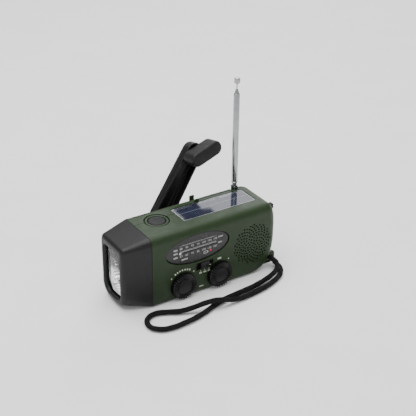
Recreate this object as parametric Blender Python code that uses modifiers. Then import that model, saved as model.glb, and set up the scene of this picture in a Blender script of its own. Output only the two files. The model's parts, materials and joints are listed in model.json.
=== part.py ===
"""Hand-crank emergency radio with torch, solar panel and telescopic antenna.

An assembly of separate pieces, one object each.  Lengths are in millimetres
and become metres when a mesh is made.  +X runs along the radio away from the
torch, -Y is the front with the dial, +Z is up; the base rests on z = 0.
"""
import math

import bmesh
import bpy
from mathutils import Matrix, Vector

MM = 0.001

# ---------------------------------------------------------------- overall
LENGTH = 128.0          # torch rim to the bowed right end
DEPTH = 41.0            # front face to back face
HEIGHT = 55.0           # base to top
WALL = 2.0              # moulded shells
GAP = 0.3               # clearance between neighbours
TOP_EDGE = 6.0          # rounding of the upper edges and the right end
BASE_EDGE = 3.0         # rounding of the edges along the base
EDGE_STEPS = 3

LEFT = -LENGTH / 2
RIGHT = LENGTH / 2
FRONT = -DEPTH / 2
BACK = DEPTH / 2

# ---------------------------------------------------------------- case
HEAD_LENGTH = 21.7      # dark torch head, up to the seam with the case
SEAM = LEFT + HEAD_LENGTH
PARTING = 4.6           # y of the plane between front and rear case
END_MIDDLE = 33.0       # height of the right end's furthest point
END_LOW = 24.0          # how far the lower right curve reaches inwards
END_HIGH = 10.0         # how far the upper right curve reaches inwards
LOW_POWER = 2.6
HIGH_POWER = 3.0
LOW_STEPS = 6
HIGH_STEPS = 5

# ---------------------------------------------------------------- torch head
HEAD_FACE_HALF = 16.3   # half width where the end's rounding starts
HEAD_FACE_TOP = 4.2     # how far the top falls towards the lens
HEAD_FACE_LOW = 1.4
HEAD_END_ROUND = 3.5
HEAD_LOW_RADIUS = 11.0
HEAD_HIGH_RADIUS = 3.5
WINDOW_HALF = 11.3
WINDOW_LOW = 7.0
WINDOW_HIGH = 44.0
LENS_DEPTH = 3.0        # lens face behind the rim
LENS_THICK = 1.2
CUP_MIDDLE = 24.0
CUP_PITCH = 10.0
CUP_RADIUS = 4.7
CUP_DEPTH = 5.5
LED_RADIUS = 1.6
LED_HEIGHT = 3.0

# ---------------------------------------------------------------- front face
DIAL_X = -4.9
DIAL_Z = 38.1
DIAL_A = 26.4
DIAL_B = 11.3
DIAL_SINK = 0.6
DIAL_THICK = 1.4
POINTER_TRAVEL = 30.0
POINTER_X = -19.5
POINTER_RADIUS = 0.9
KNOB_RADIUS = 10.0
KNOB_PROUD = 3.4
KNOB_Z = 10.9
TUNING_X = -17.4
VOLUME_X = 13.4
KNOB_RIBS = 32
RIB_DEPTH = 0.5
SHAFT_RADIUS = 3.0
SWITCH_X = 0.9
SWITCH_Z = KNOB_Z + KNOB_RADIUS + 1.2   # its slot stays above the knobs
SWITCH_WIDE = 14.6
SWITCH_HIGH = 6.0
SLIDER_WIDE = 6.8
SPEAKER_X = 42.4
SPEAKER_Z = 27.1
SPEAKER_RADIUS = 16.5
HOLE_PITCH = 4.6
HOLE_RADIUS = 1.1
HOLE_RINGS = 3

# ---------------------------------------------------------------- top face
BUTTON_X = -25.1
BUTTON_Y = 2.9
BUTTON_RADIUS = 6.5
RING_RADIUS = 9.4
BUTTON_TRAVEL = 0.8
SOLAR_X = 22.2
SOLAR_Y = 2.0
SOLAR_LONG = 62.2
SOLAR_WIDE = 19.8
SOLAR_THICK = 1.2

# ---------------------------------------------------------------- antenna
MAST_X = 50.4
MAST_Y = 16.5
MAST_Z = 56.0           # tilt pin
FOOT_RADIUS = 2.6       # swivel foot that carries the fork
STEM_RADIUS = 1.6
STEM_LONG = 9.1         # tilt pin to the foot's lower end
MAST_RADII = (2.3, 1.7, 1.1)
MAST_WALL = 0.3
MAST_LOW = 60.0
MAST_HIGH = 130.4
MAST_STEP = 1.6         # each collapsed stage stands this much higher
MAST_ROD = 0.5
TIP_RADIUS = 2.2
TIP_HIGH = 142.4
GROOVE_RADIUS = 2.8
CLIP_X = 14.6
CLIP_GAP = 0.4
CLIP_THICK = 1.2
CLIP_RISE = 0.6

# ---------------------------------------------------------------- crank
HUB_X = -19.2
HUB_Z = 27.0
HUB_RADIUS = 10.5
FOLD_Y = BACK + 4.5     # fold pin behind the back face
CRANK_ANGLE = 48.8      # arm's direction above +X
CRANK_LEAN = 12.0       # how far it leans off the back
ARM_LENGTH = 72.7       # fold pin to grip pin
ARM_THICK = 7.0
ARM_ROOT = 17.6
ARM_TIP = 15.2
ARM_FLOOR = 1.8
ARM_RIM = 1.6
EYE_WIDTH = 8.0
EYE_RADIUS = 3.5
HUB_SHAFT = 3.0
FOLD_PIN = 1.3
GRIP_PIN = 2.0
GRIP_LONG = 29.0
GRIP_HIGH = 11.0
GRIP_DEEP = 12.0
GRIP_OFFSET = 2.5
GRIP_TURN = -35.0       # grip's long axis from the arm's direction
POCKET_DEEP = 12.4      # hollow in the back for the folded grip

# ---------------------------------------------------------------- drive train
GEAR_MODULE = 0.8
DRIVE_TEETH = 36
PINION_TEETH = 12
ROTOR_MODULE = 0.6
WHEEL_TEETH = 30
ROTOR_TEETH = 10
BACKLASH = 0.25
GEAR_Y = 14.2
GEAR_THICK = 3.4
DYNAMO_RADIUS = 9.4

# ---------------------------------------------------------------- strap
CORD_RADIUS = 2.1
CORD_STEP = 8.0
LUG_Y = -15.0
LUG_Z = 7.0
LUG_END = RIGHT + 2.4
LUG_SIDE = 1.8
LUG_THICK = 4.4

# Places that follow from the sizes above, in mm.
STOWED_X = HUB_X + ARM_LENGTH
POCKET_LOW_X = STOWED_X - GRIP_HIGH / 2 - 1.2
POCKET_HIGH_X = STOWED_X + GRIP_HIGH / 2 + 1.6
POCKET_LOW_Z = HUB_Z - GRIP_LONG / 2 + GRIP_OFFSET - 1.2
POCKET_HIGH_Z = HUB_Z + GRIP_LONG / 2 + GRIP_OFFSET + 1.2
PORT_Y = -4.0
PORT_Z = 41.9
SCREWS = [(SEAM + 9, 8.0), (SEAM + 9, HEIGHT - 9), (22.0, 8.0), (34.0, HEIGHT - 9)]
LENS_X = LEFT + LENS_DEPTH
REFLECTOR_X = LENS_X + LENS_THICK + GAP
REFLECTOR_BACK = REFLECTOR_X + CUP_DEPTH + 1.2
CUP_Z = [CUP_MIDDLE + CUP_PITCH * step for step in (-1, 0, 1)]
IDLER_X = HUB_X + GEAR_MODULE * (DRIVE_TEETH + PINION_TEETH) / 2 + 0.1
ROTOR_X = IDLER_X + ROTOR_MODULE * (WHEEL_TEETH + ROTOR_TEETH) / 2 + 0.1
WHEEL_Y = GEAR_Y - 3.4
BOARD_FRONT = -8.0
FERRITE_RADIUS = 2.6
FERRITE_Y = 11.6
FERRITE_Z = 46.6
TAB_PROUD = 3.4         # pull tab of the port cover beyond the right end


# ---------------------------------------------------------------- finishes
def finish(name, colour, roughness, metallic=0.0):
    """A plain Principled finish."""
    material = bpy.data.materials.new(name)
    material.use_nodes = True
    shader = material.node_tree.nodes["Principled BSDF"]
    shader.inputs["Base Color"].default_value = (*colour, 1.0)
    shader.inputs["Roughness"].default_value = roughness
    shader.inputs["Metallic"].default_value = metallic
    return material


def clear_scene():
    for item in list(bpy.data.objects):
        bpy.data.objects.remove(item, do_unlink=True)


clear_scene()
PARTS = bpy.data.collections.new("emergency_radio")
CUTTERS = bpy.data.collections.new("cutters")
bpy.context.scene.collection.children.link(PARTS)
bpy.context.scene.collection.children.link(CUTTERS)

GREEN = finish("green_case", (0.035, 0.065, 0.028), 0.5)
CHARCOAL = finish("charcoal_plastic", (0.024, 0.024, 0.026), 0.5)
BLACK = finish("black_plastic", (0.012, 0.012, 0.012), 0.5)
RUBBER = finish("rubber", (0.01, 0.01, 0.01), 0.8)
CLEAR = finish("clear_plastic", (0.8, 0.82, 0.84), 0.1)
CHROME = finish("chrome", (0.6, 0.6, 0.6), 0.15, 1.0)
STEEL = finish("steel", (0.45, 0.45, 0.46), 0.35, 1.0)
BOARD = finish("circuit_board", (0.02, 0.12, 0.04), 0.6)
CELL = finish("solar_cell", (0.01, 0.012, 0.03), 0.25)
WHITE = finish("white_plastic", (0.75, 0.75, 0.72), 0.5)
PAPER = finish("paper_cone", (0.05, 0.045, 0.04), 0.9)
COPPER = finish("copper", (0.6, 0.25, 0.12), 0.4, 1.0)
FERRITE = finish("ferrite", (0.03, 0.03, 0.032), 0.7)
WEBBING = finish("webbing", (0.01, 0.01, 0.01), 0.9)
BLUE = finish("battery_sleeve", (0.02, 0.08, 0.3), 0.45)


# ---------------------------------------------------------------- making
def add_object(name, mesh, material):
    """Link a mesh, given in metres, as one named part."""
    item = bpy.data.objects.new(name, mesh)
    PARTS.objects.link(item)
    mesh.materials.append(material)
    mesh.shade_smooth()
    mesh.set_sharp_from_angle(angle=math.radians(35))
    return item


def from_bmesh(name, bm, material):
    bmesh.ops.scale(bm, vec=(MM, MM, MM), verts=bm.verts)
    bmesh.ops.recalc_face_normals(bm, faces=bm.faces)
    mesh = bpy.data.meshes.new(name)
    bm.to_mesh(mesh)
    bm.free()
    return add_object(name, mesh, material)


def box(name, low, high, material=BLACK, bevel=0.0, matrix=None):
    """A box between two corners, its edges rounded by bevel."""
    bm = bmesh.new()
    bmesh.ops.create_cube(bm, size=1.0)
    low, high = Vector(low), Vector(high)
    bmesh.ops.scale(bm, vec=high - low, verts=bm.verts)
    bmesh.ops.translate(bm, vec=(low + high) / 2, verts=bm.verts)
    if bevel:
        bmesh.ops.bevel(bm, geom=bm.edges[:], offset=bevel, segments=2, profile=0.5, affect="EDGES")
    if matrix:
        bm.transform(matrix)
    return from_bmesh(name, bm, material)


def rod(name, start, end, radius, material=BLACK, sides=16, end_radius=None):
    """A round bar or cone from one point to another."""
    start, end = Vector(start), Vector(end)
    axis = end - start
    bm = bmesh.new()
    bmesh.ops.create_cone(
        bm, cap_ends=True, segments=sides, radius1=radius,
        radius2=radius if end_radius is None else end_radius, depth=axis.length,
    )
    turn = Vector((0, 0, 1)).rotation_difference(axis).to_matrix().to_4x4()
    bm.transform(Matrix.Translation((start + end) / 2) @ turn)
    return from_bmesh(name, bm, material)


def turned(name, profile, matrix, material=BLACK, sides=16):
    """A profile of (radius, height) points, top to bottom down its outer side, turned about Z."""
    mesh = bpy.data.meshes.new(name)
    points = [(radius * MM, 0.0, height * MM) for radius, height in profile]
    ring = profile[0][0] > 0
    edges = [(i, i + 1) for i in range(len(points) - 1)]
    if ring:
        edges.append((len(points) - 1, 0))
    mesh.from_pydata(points, edges, [])
    item = add_object(name, mesh, material)
    place = matrix.copy()
    place.translation *= MM
    item.matrix_world = place
    screw = item.modifiers.new("turn", "SCREW")
    screw.axis = "Z"
    screw.steps = sides
    screw.render_steps = sides
    screw.use_merge_vertices = True
    screw.merge_threshold = 0.00002
    return item


def plate(name, outline, thick, matrix, material=BLACK):
    """A flat outline of (x, y) points, thick along its local Z and centred on it."""
    curve = bpy.data.curves.new(name, "CURVE")
    curve.dimensions = "2D"
    curve.fill_mode = "BOTH"
    curve.extrude = thick * MM / 2
    spline = curve.splines.new("POLY")
    spline.points.add(len(outline) - 1)
    for point, (x, y) in zip(spline.points, outline):
        point.co = (x * MM, y * MM, 0.0, 1.0)
    spline.use_cyclic_u = True
    source = bpy.data.objects.new(name + "_outline", curve)
    CUTTERS.objects.link(source)
    bpy.context.view_layer.update()
    seen = source.evaluated_get(bpy.context.evaluated_depsgraph_get())
    mesh = bpy.data.meshes.new_from_object(seen)
    bpy.data.objects.remove(source, do_unlink=True)
    bm = bmesh.new()
    bm.from_mesh(mesh)
    bmesh.ops.remove_doubles(bm, verts=bm.verts, dist=1e-6)
    place = matrix.copy()
    place.translation *= MM
    bm.transform(place)
    bmesh.ops.recalc_face_normals(bm, faces=bm.faces)
    bm.to_mesh(mesh)
    bm.free()
    mesh.name = name
    mesh.materials.clear()
    return add_object(name, mesh, material)


def loft(name, rings, material=BLACK):
    """A closed skin over rings of equal point counts, with both ends capped."""
    bm = bmesh.new()
    rows = [[bm.verts.new(point) for point in ring] for ring in rings]
    count = len(rows[0])
    for low, high in zip(rows, rows[1:]):
        for i in range(count):
            j = (i + 1) % count
            bm.faces.new((low[i], low[j], high[j], high[i]))
    bm.faces.new(rows[0])
    bm.faces.new(rows[-1])
    return from_bmesh(name, bm, material)


def as_cutter(item):
    PARTS.objects.unlink(item)
    CUTTERS.objects.link(item)
    item.hide_render = True
    item.display_type = "WIRE"
    return item


def combine(item, other, operation="DIFFERENCE"):
    """A Boolean modifier; other becomes a cutter."""
    if other.name in PARTS.objects:
        as_cutter(other)
    step = item.modifiers.new(operation.lower(), "BOOLEAN")
    step.operation = operation
    step.object = other
    return item


def cut(item, *others):
    for other in others:
        combine(item, other)
    return item


def join(item, *others):
    for other in others:
        combine(item, other, "UNION")
    return item


def hinge_on(point, *items):
    """Parent pieces to an empty on their joint's axis, leaving them in place."""
    joint = bpy.data.objects.new("joint_of_" + items[0].name, None)
    PARTS.objects.link(joint)
    joint.location = Vector(point) * MM
    back = Matrix.Translation(-joint.location)
    for item in items:
        item.parent = joint
        item.matrix_parent_inverse = back
    return joint


def arc(centre, radius, start, end, steps):
    """Points on an arc, angles in degrees."""
    return [
        (
            centre[0] + radius * math.cos(math.radians(start + (end - start) * i / steps)),
            centre[1] + radius * math.sin(math.radians(start + (end - start) * i / steps)),
        )
        for i in range(steps + 1)
    ]


def facing(x, y, z, normal="-Y"):
    """A place whose local Z looks along normal, with local X along +X where it can."""
    turns = {
        "-Y": Matrix.Rotation(math.radians(90), 4, "X"),
        "+Y": Matrix.Rotation(math.radians(-90), 4, "X"),
        "+Z": Matrix.Identity(4),
        "-X": Matrix.Rotation(math.radians(-90), 4, "Y"),
        "+X": Matrix.Rotation(math.radians(90), 4, "Y"),
    }
    return Matrix.Translation((x, y, z)) @ turns[normal]


# ---------------------------------------------------------------- case shells
def case_ring(wall, turn, side, left):
    """One section round the case: turn runs from 0 at its face to 90 where the sides are straight."""
    middle = END_MIDDLE
    inward = 1 - math.sin(math.radians(turn))
    back_off = 1 - math.cos(math.radians(turn))

    def edge(share):
        radius = BASE_EDGE + (TOP_EDGE - BASE_EDGE) * share - wall
        return wall + radius * inward, side * (DEPTH / 2 - wall - radius * back_off)

    inset, y = edge(0.0)
    ring = [(left, y, inset)]
    for i in range(LOW_STEPS + 1):
        t = math.radians(-90 + 90 * i / LOW_STEPS)
        across = abs(math.cos(t)) ** (2 / LOW_POWER) if i else 0.0
        up = abs(math.sin(t)) ** (2 / LOW_POWER) if i < LOW_STEPS else 0.0
        inset, y = edge(i / LOW_STEPS)
        ring.append((RIGHT - END_LOW + (END_LOW - inset) * across, y, middle - (middle - inset) * up))
    inset, y = edge(1.0)
    for i in range(1, HIGH_STEPS + 1):
        t = math.radians(90 * i / HIGH_STEPS)
        across = math.cos(t) ** (2 / HIGH_POWER) if i < HIGH_STEPS else 0.0
        up = math.sin(t) ** (2 / HIGH_POWER)
        z = middle + (HEIGHT - inset - middle) * up
        ring.append((RIGHT - END_HIGH + (END_HIGH - inset) * across, y, z))
    ring.append((left, y, HEIGHT - inset))
    return ring


def case_body(name, wall, left, material=GREEN):
    """The whole case as a solid whose long edges are round, shrunk by wall."""
    turns = [90 * i / EDGE_STEPS for i in range(EDGE_STEPS + 1)]
    rings = [case_ring(wall, turn, -1, left) for turn in turns]
    rings += [case_ring(wall, turn, 1, left) for turn in reversed(turns)]
    return loft(name, rings, material)


def slab(name, y_low, y_high):
    """Everything between two depths."""
    reach = LENGTH
    return box(name, (-reach, y_low, -reach), (reach, y_high, 2 * HEIGHT))


def ellipse(half_wide, half_high, steps):
    return [
        (half_wide * math.cos(2 * math.pi * i / steps), half_high * math.sin(2 * math.pi * i / steps))
        for i in range(steps)
    ]


def grille_points():
    """Hole centres in rings round the speaker's middle."""
    spots = [(SPEAKER_X, SPEAKER_Z)]
    for ring in range(1, HOLE_RINGS + 1):
        count = 6 * ring
        for i in range(count):
            t = 2 * math.pi * (i / count) + 0.26 * ring
            spots.append(
                (
                    SPEAKER_X + ring * HOLE_PITCH * math.cos(t),
                    SPEAKER_Z + ring * HOLE_PITCH * math.sin(t),
                )
            )
    return spots


def grille_cutter():
    """All grille holes as one cutter of separate bars."""
    bm = bmesh.new()
    for x, z in grille_points():
        made = bmesh.ops.create_cone(
            bm, cap_ends=True, segments=6, radius1=HOLE_RADIUS, radius2=HOLE_RADIUS, depth=3 * WALL
        )
        bmesh.ops.rotate(
            bm, verts=made["verts"], matrix=Matrix.Rotation(math.radians(90), 3, "X")
        )
        bmesh.ops.translate(bm, verts=made["verts"], vec=(x, FRONT + WALL / 2, z))
    return as_cutter(from_bmesh("grille_holes", bm, GREEN))


def cavity(name, pocket_wall):
    """The hollow inside the case; the rear one leaves the grip pocket's walls standing."""
    hollow = case_body(name, WALL, SEAM - 2 * WALL)
    as_cutter(hollow)
    if pocket_wall:
        keep = box(
            name + "_pocket_wall",
            (POCKET_LOW_X - 1.4, BACK - POCKET_DEEP - 1.4, POCKET_LOW_Z - 1.4),
            (RIGHT + WALL, DEPTH, POCKET_HIGH_Z + 1.4),
        )
        combine(hollow, keep)
    return hollow


def case_half(name, y_low, y_high, pocket_wall):
    """One shell of the case, with the holes that both halves share."""
    shell = case_body(name, 0.0, SEAM)
    combine(shell, slab(name + "_span", y_low, y_high), "INTERSECT")
    cut(shell, cavity(name + "_hollow", pocket_wall))
    top = HEIGHT - WALL - 1
    ring = rod(
        name + "_ring_hole", (BUTTON_X, BUTTON_Y, top), (BUTTON_X, BUTTON_Y, HEIGHT + 1),
        RING_RADIUS, sides=24,
    )
    panel = box(
        name + "_panel_hole",
        (SOLAR_X - SOLAR_LONG / 2, SOLAR_Y - SOLAR_WIDE / 2, top),
        (SOLAR_X + SOLAR_LONG / 2, SOLAR_Y + SOLAR_WIDE / 2, HEIGHT + 1),
    )
    port = box(
        name + "_port_hole",
        (RIGHT - 3 * END_HIGH / 2, PORT_Y - 5.5, PORT_Z - 4.5), (RIGHT + 2, PORT_Y + 5.5, PORT_Z + 4.5),
    )
    return cut(shell, ring, panel, port)


def make_case():
    front = case_half("front_case", -DEPTH, PARTING - GAP / 2, False)
    dial = plate(
        "dial_hole", ellipse(DIAL_A + GAP, DIAL_B + GAP, 32), 4 * WALL,
        facing(DIAL_X, FRONT, DIAL_Z),
    )
    slot = box(
        "switch_hole",
        (SWITCH_X - SWITCH_WIDE / 2, FRONT - 1, SWITCH_Z - SWITCH_HIGH / 2),
        (SWITCH_X + SWITCH_WIDE / 2, FRONT + 2 * WALL, SWITCH_Z + SWITCH_HIGH / 2),
    )
    cut(front, dial, slot, grille_cutter())
    for x in (TUNING_X, VOLUME_X):
        well = rod("knob_well", (x, FRONT - 1, KNOB_Z), (x, FRONT + 1.0, KNOB_Z), KNOB_RADIUS + 0.6, sides=24)
        hole = rod(
            "shaft_hole", (x, FRONT - 1, KNOB_Z), (x, FRONT + 2 * WALL, KNOB_Z),
            SHAFT_RADIUS + GAP, sides=12,
        )
        cut(front, well, hole)

    rear = case_half("rear_case", PARTING + GAP / 2, DEPTH, True)
    pocket = box(
        "grip_pocket",
        (POCKET_LOW_X, BACK - POCKET_DEEP, POCKET_LOW_Z), (POCKET_HIGH_X, DEPTH, POCKET_HIGH_Z),
    )
    hub = rod("hub_hole", (HUB_X, BACK - 2 * WALL, HUB_Z), (HUB_X, DEPTH, HUB_Z), HUB_RADIUS + GAP, sides=24)
    groove = rod(
        "mast_groove", (SEAM + 4.5, MAST_Y, MAST_Z), (RIGHT + 5, MAST_Y, MAST_Z), GROOVE_RADIUS, sides=12
    )
    well = rod(
        "mast_well", (MAST_X, MAST_Y, MAST_Z - 6), (MAST_X, MAST_Y, MAST_Z + 3), FOOT_RADIUS + 0.7,
        sides=16,
    )
    stem = rod(
        "stem_hole", (MAST_X, MAST_Y, MAST_Z - STEM_LONG - GAP), (MAST_X, MAST_Y, MAST_Z),
        STEM_RADIUS + GAP, sides=12,
    )
    cut(rear, pocket, hub, groove)
    cut(rear, join(well, stem))
    for side, low in ((-1, HEIGHT - WALL + 0.5), (1, HEIGHT - TOP_EDGE + 0.7)):
        middle = MAST_Y + side * (MAST_RADII[0] + CLIP_GAP + CLIP_THICK / 2)
        prong = box(
            "mast_prong", (CLIP_X - 2, middle - CLIP_THICK / 2, low),
            (CLIP_X + 2, middle + CLIP_THICK / 2, MAST_Z + CLIP_RISE),
        )
        join(rear, prong)
    return front, rear


def make_screws(rear):
    """Four self-tapping screws sunk in the back, each in its own counterbore."""
    for number, (x, z) in enumerate(SCREWS, 1):
        well = rod("screw_well", (x, BACK - 1.3, z), (x, BACK + 1, z), 2.9, sides=12)
        hole = rod("screw_hole", (x, BACK - 2 * WALL, z), (x, BACK + 1, z), 1.5, sides=8)
        cut(rear, well, hole)
        screw = rod(f"case_screw_{number}", (x, BACK - 1.0, z), (x, BACK + 0.0, z), 2.5, STEEL, 12)
        shank = rod("shank", (x, BACK - 8.0, z), (x, BACK - 0.5, z), 1.1, STEEL, 8)
        join(screw, shank)
        slot = box("driver_slot", (x - 1.6, BACK - 0.45, z - 0.3), (x + 1.6, BACK + 1, z + 0.3))
        cut(screw, slot)


# ---------------------------------------------------------------- torch head
def rounded_ring(x, half, low, high, low_radius, high_radius):
    """A rounded rectangle across the radio at one x."""
    steps = EDGE_STEPS
    flat = arc((half - low_radius, low + low_radius), low_radius, -90, 0, steps)
    flat += arc((half - high_radius, high - high_radius), high_radius, 0, 90, steps)
    flat += arc((-half + high_radius, high - high_radius), high_radius, 90, 180, steps)
    flat += arc((-half + low_radius, low + low_radius), low_radius, 180, 270, steps)
    return [(x, y, z) for y, z in flat]


def head_rings(wall, seam_x, end_x):
    """Sections of the torch head from the seam to the lens rim."""
    half, top, low = HEAD_FACE_HALF, HEIGHT - HEAD_FACE_TOP, HEAD_FACE_LOW
    rnd = HEAD_END_ROUND
    return [
        rounded_ring(
            seam_x, DEPTH / 2 - wall, wall, HEIGHT - wall, BASE_EDGE - wall, TOP_EDGE - wall
        ),
        rounded_ring(
            LEFT + rnd + wall, half - wall, low + wall, top - wall,
            HEAD_LOW_RADIUS - wall, HEAD_HIGH_RADIUS - wall / 2,
        ),
        rounded_ring(
            LEFT + 0.3 * rnd + wall, half - 0.3 * rnd - wall, low + 0.3 * rnd + wall,
            top - 0.3 * rnd - wall, HEAD_LOW_RADIUS - 1 - wall, HEAD_HIGH_RADIUS - 0.4 - wall / 2,
        ),
        rounded_ring(
            end_x, half - rnd - wall, low + rnd + wall, top - rnd - wall,
            HEAD_LOW_RADIUS - 3 - wall, HEAD_HIGH_RADIUS - 1 - wall / 2,
        ),
    ]


def window_outline(grow):
    """The torch window across the radio: (y, z) points with rounded corners."""
    half = WINDOW_HALF + grow
    low, high = WINDOW_LOW - grow, WINDOW_HIGH + grow
    low_radius, high_radius = 7.0, 3.5
    flat = arc((half - low_radius, low + low_radius), low_radius, -90, 0, 4)
    flat += arc((half - high_radius, high - high_radius), high_radius, 0, 90, 3)
    flat += arc((-half + high_radius, high - high_radius), high_radius, 90, 180, 3)
    flat += arc((-half + low_radius, low + low_radius), low_radius, 180, 270, 4)
    return flat


def window_block(name, grow, x_low, x_high, material=BLACK):
    return loft(
        name, [[(x, y, z) for y, z in window_outline(grow)] for x in (x_low, x_high)], material
    )


def make_head():
    shell = loft("head_shell", head_rings(0.0, SEAM - GAP, LEFT), CHARCOAL)
    hollow = loft("head_hollow", head_rings(WALL, SEAM + WALL, LEFT + WALL + 0.6))
    cut(shell, hollow, window_block("head_window", 0.0, LEFT - 2, LEFT + 3 * WALL))
    window_block("torch_lens", -GAP, LENS_X, LENS_X + LENS_THICK, CLEAR)
    block = window_block("reflector", -GAP, REFLECTOR_X, REFLECTOR_BACK, CHROME)
    for number, z in enumerate(CUP_Z, 1):
        cup = rod(
            "cup", (REFLECTOR_X - 0.5, 0, z), (REFLECTOR_X + CUP_DEPTH, 0, z), CUP_RADIUS, sides=16,
            end_radius=LED_RADIUS + 0.9,
        )
        hole = rod("led_hole", (REFLECTOR_X, 0, z), (REFLECTOR_BACK + 1, 0, z), LED_RADIUS + GAP, sides=12)
        cut(block, cup, hole)
        led = turned(
            f"led_{number}",
            [(0.0, LED_HEIGHT + 1.5), (LED_RADIUS * 0.7, LED_HEIGHT + 1.0), (LED_RADIUS, LED_HEIGHT),
             (LED_RADIUS, 0.0), (0.0, 0.0)],
            facing(REFLECTOR_BACK + GAP / 2, 0, z, "-X"), WHITE, 12,
        )
    board = REFLECTOR_BACK + GAP
    box(
        "led_board", (board, -8, WINDOW_LOW + 2), (board + 1.2, 8, WINDOW_HIGH - 2), BOARD
    )


# ---------------------------------------------------------------- front face
def make_dial():
    face = FRONT + DIAL_SINK
    window = plate(
        "dial_window", ellipse(DIAL_A, DIAL_B, 32), DIAL_THICK,
        facing(DIAL_X, face + DIAL_THICK / 2, DIAL_Z), CHARCOAL,
    )
    slot_z = DIAL_Z - 0.8
    slot = box(
        "pointer_slot",
        (POINTER_X - 1.3, face - 1, slot_z - 1.3),
        (POINTER_X + POINTER_TRAVEL + 1.3, face + 2 * DIAL_THICK, slot_z + 1.3),
    )
    cut(window, slot)
    pointer = rod(
        "dial_pointer", (POINTER_X, face + 0.4, slot_z), (POINTER_X, face + 4.0, slot_z),
        POINTER_RADIUS, WHITE, 12,
    )
    carriage = box(
        "carriage", (POINTER_X - 2.5, face + 3.0, slot_z - 4), (POINTER_X + 2.5, face + 4.2, slot_z + 4)
    )
    join(pointer, carriage)
    hinge_on((POINTER_X, face, slot_z), pointer)


def ribbed_outline(radius, ribs, depth):
    """A round outline with one low rib and one gap per step."""
    points = []
    for i in range(ribs):
        for share, height in ((0.0, 0.0), (0.25, depth), (0.5, depth), (0.75, 0.0)):
            t = 2 * math.pi * (i + share) / ribs
            points.append(((radius - depth + height) * math.cos(t), (radius - depth + height) * math.sin(t)))
    return points


def make_knob(name, x, body_name, body_low, body_high):
    """A ribbed thumb disc on a shaft, and the part inside that it turns."""
    y_back = FRONT + 0.7
    y_front = FRONT - KNOB_PROUD
    knob = plate(
        name, ribbed_outline(KNOB_RADIUS, KNOB_RIBS, RIB_DEPTH), y_back - y_front,
        facing(x, (y_back + y_front) / 2, KNOB_Z), BLACK,
    )
    shaft = rod(
        name + "_shaft", (x, y_front + 1, KNOB_Z), (x, body_low[1] - GAP, KNOB_Z), SHAFT_RADIUS, sides=12
    )
    join(knob, shaft)
    hinge_on((x, y_front, KNOB_Z), knob)
    box(body_name, body_low, body_high, WHITE)


def make_switch():
    y_face = FRONT + 0.6
    half = SLIDER_WIDE / 2
    slider = box(
        "band_switch",
        (SWITCH_X - half, y_face - 1.2, SWITCH_Z - SWITCH_HIGH / 2 + GAP),
        (SWITCH_X + half, y_face + 1.6, SWITCH_Z + SWITCH_HIGH / 2 - GAP), BLACK,
    )
    lever = box(
        "lever", (SWITCH_X - 1, y_face + 1, SWITCH_Z - 1), (SWITCH_X + 1, y_face + 4.4, SWITCH_Z + 1)
    )
    join(slider, lever)
    hinge_on((SWITCH_X, y_face, SWITCH_Z), slider)
    box(
        "switch_body", (SWITCH_X - 8, y_face + 4.8, SWITCH_Z - 2.8),
        (SWITCH_X + 8, BOARD_FRONT - GAP, SWITCH_Z + 2.8), STEEL,
    )


def make_speaker():
    y = FRONT + WALL + GAP
    place = facing(SPEAKER_X, y, SPEAKER_Z, "+Y")
    turned(
        "speaker_basket",
        [(SPEAKER_RADIUS - 1.6, 0.0), (SPEAKER_RADIUS, 0.0), (SPEAKER_RADIUS, 1.6), (9.5, 7.5), (8.3, 7.5),
         (8.3, 6.3), (SPEAKER_RADIUS - 1.6, 0.9)][::-1],
        place, STEEL, 24,
    )
    turned(
        "speaker_cone",
        [(0.0, 4.4), (5.0, 4.9), (SPEAKER_RADIUS - 2.4, 0.5), (SPEAKER_RADIUS - 3.2, 0.3), (4.6, 3.9),
         (0.0, 3.4)],
        place, PAPER, 24,
    )
    rod("speaker_magnet", (SPEAKER_X, y + 7.9, SPEAKER_Z), (SPEAKER_X, y + 12.4, SPEAKER_Z), 8.0, STEEL, 20)


# ---------------------------------------------------------------- top face
def make_button():
    place = facing(BUTTON_X, BUTTON_Y, HEIGHT, "+Z")
    turned(
        "button_bezel",
        [(BUTTON_RADIUS + GAP, -0.5), (RING_RADIUS - 1.2, 0.0), (RING_RADIUS - 0.6, -0.5),
         (RING_RADIUS - 0.6, -WALL - 1.2), (BUTTON_RADIUS + GAP, -WALL - 1.2)],
        place, GREEN, 24,
    )
    button = turned(
        "torch_button",
        [(0.0, 0.6), (BUTTON_RADIUS - 1.5, 0.4), (BUTTON_RADIUS, -0.4), (BUTTON_RADIUS, -3.0),
         (1.5, -3.2), (1.5, -4.6), (0.0, -4.6)],
        place, RUBBER, 24,
    )
    hinge_on((BUTTON_X, BUTTON_Y, HEIGHT), button)
    low = HEIGHT - 4.6 - BUTTON_TRAVEL - GAP
    box("torch_switch", (BUTTON_X - 4, BUTTON_Y - 4, low - 4), (BUTTON_X + 4, BUTTON_Y + 4, low), BLACK)


def make_solar():
    top = HEIGHT - 0.25
    half_long, half_wide = SOLAR_LONG / 2 - GAP, SOLAR_WIDE / 2 - GAP
    box(
        "solar_window", (SOLAR_X - half_long, SOLAR_Y - half_wide, top - SOLAR_THICK),
        (SOLAR_X + half_long, SOLAR_Y + half_wide, top), CLEAR,
    )
    low = top - SOLAR_THICK - GAP
    box(
        "solar_cell", (SOLAR_X - half_long, SOLAR_Y - half_wide, low - 1.4),
        (SOLAR_X + half_long, SOLAR_Y + half_wide, low), CELL,
    )


# ---------------------------------------------------------------- antenna
def tube(name, outer, wall, low, high):
    inner = outer - wall
    place = facing(MAST_X, MAST_Y, 0, "+Z")
    return turned(
        name, [(inner, high), (outer, high), (outer, low), (inner, low)], place, CHROME, 12
    )


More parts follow.
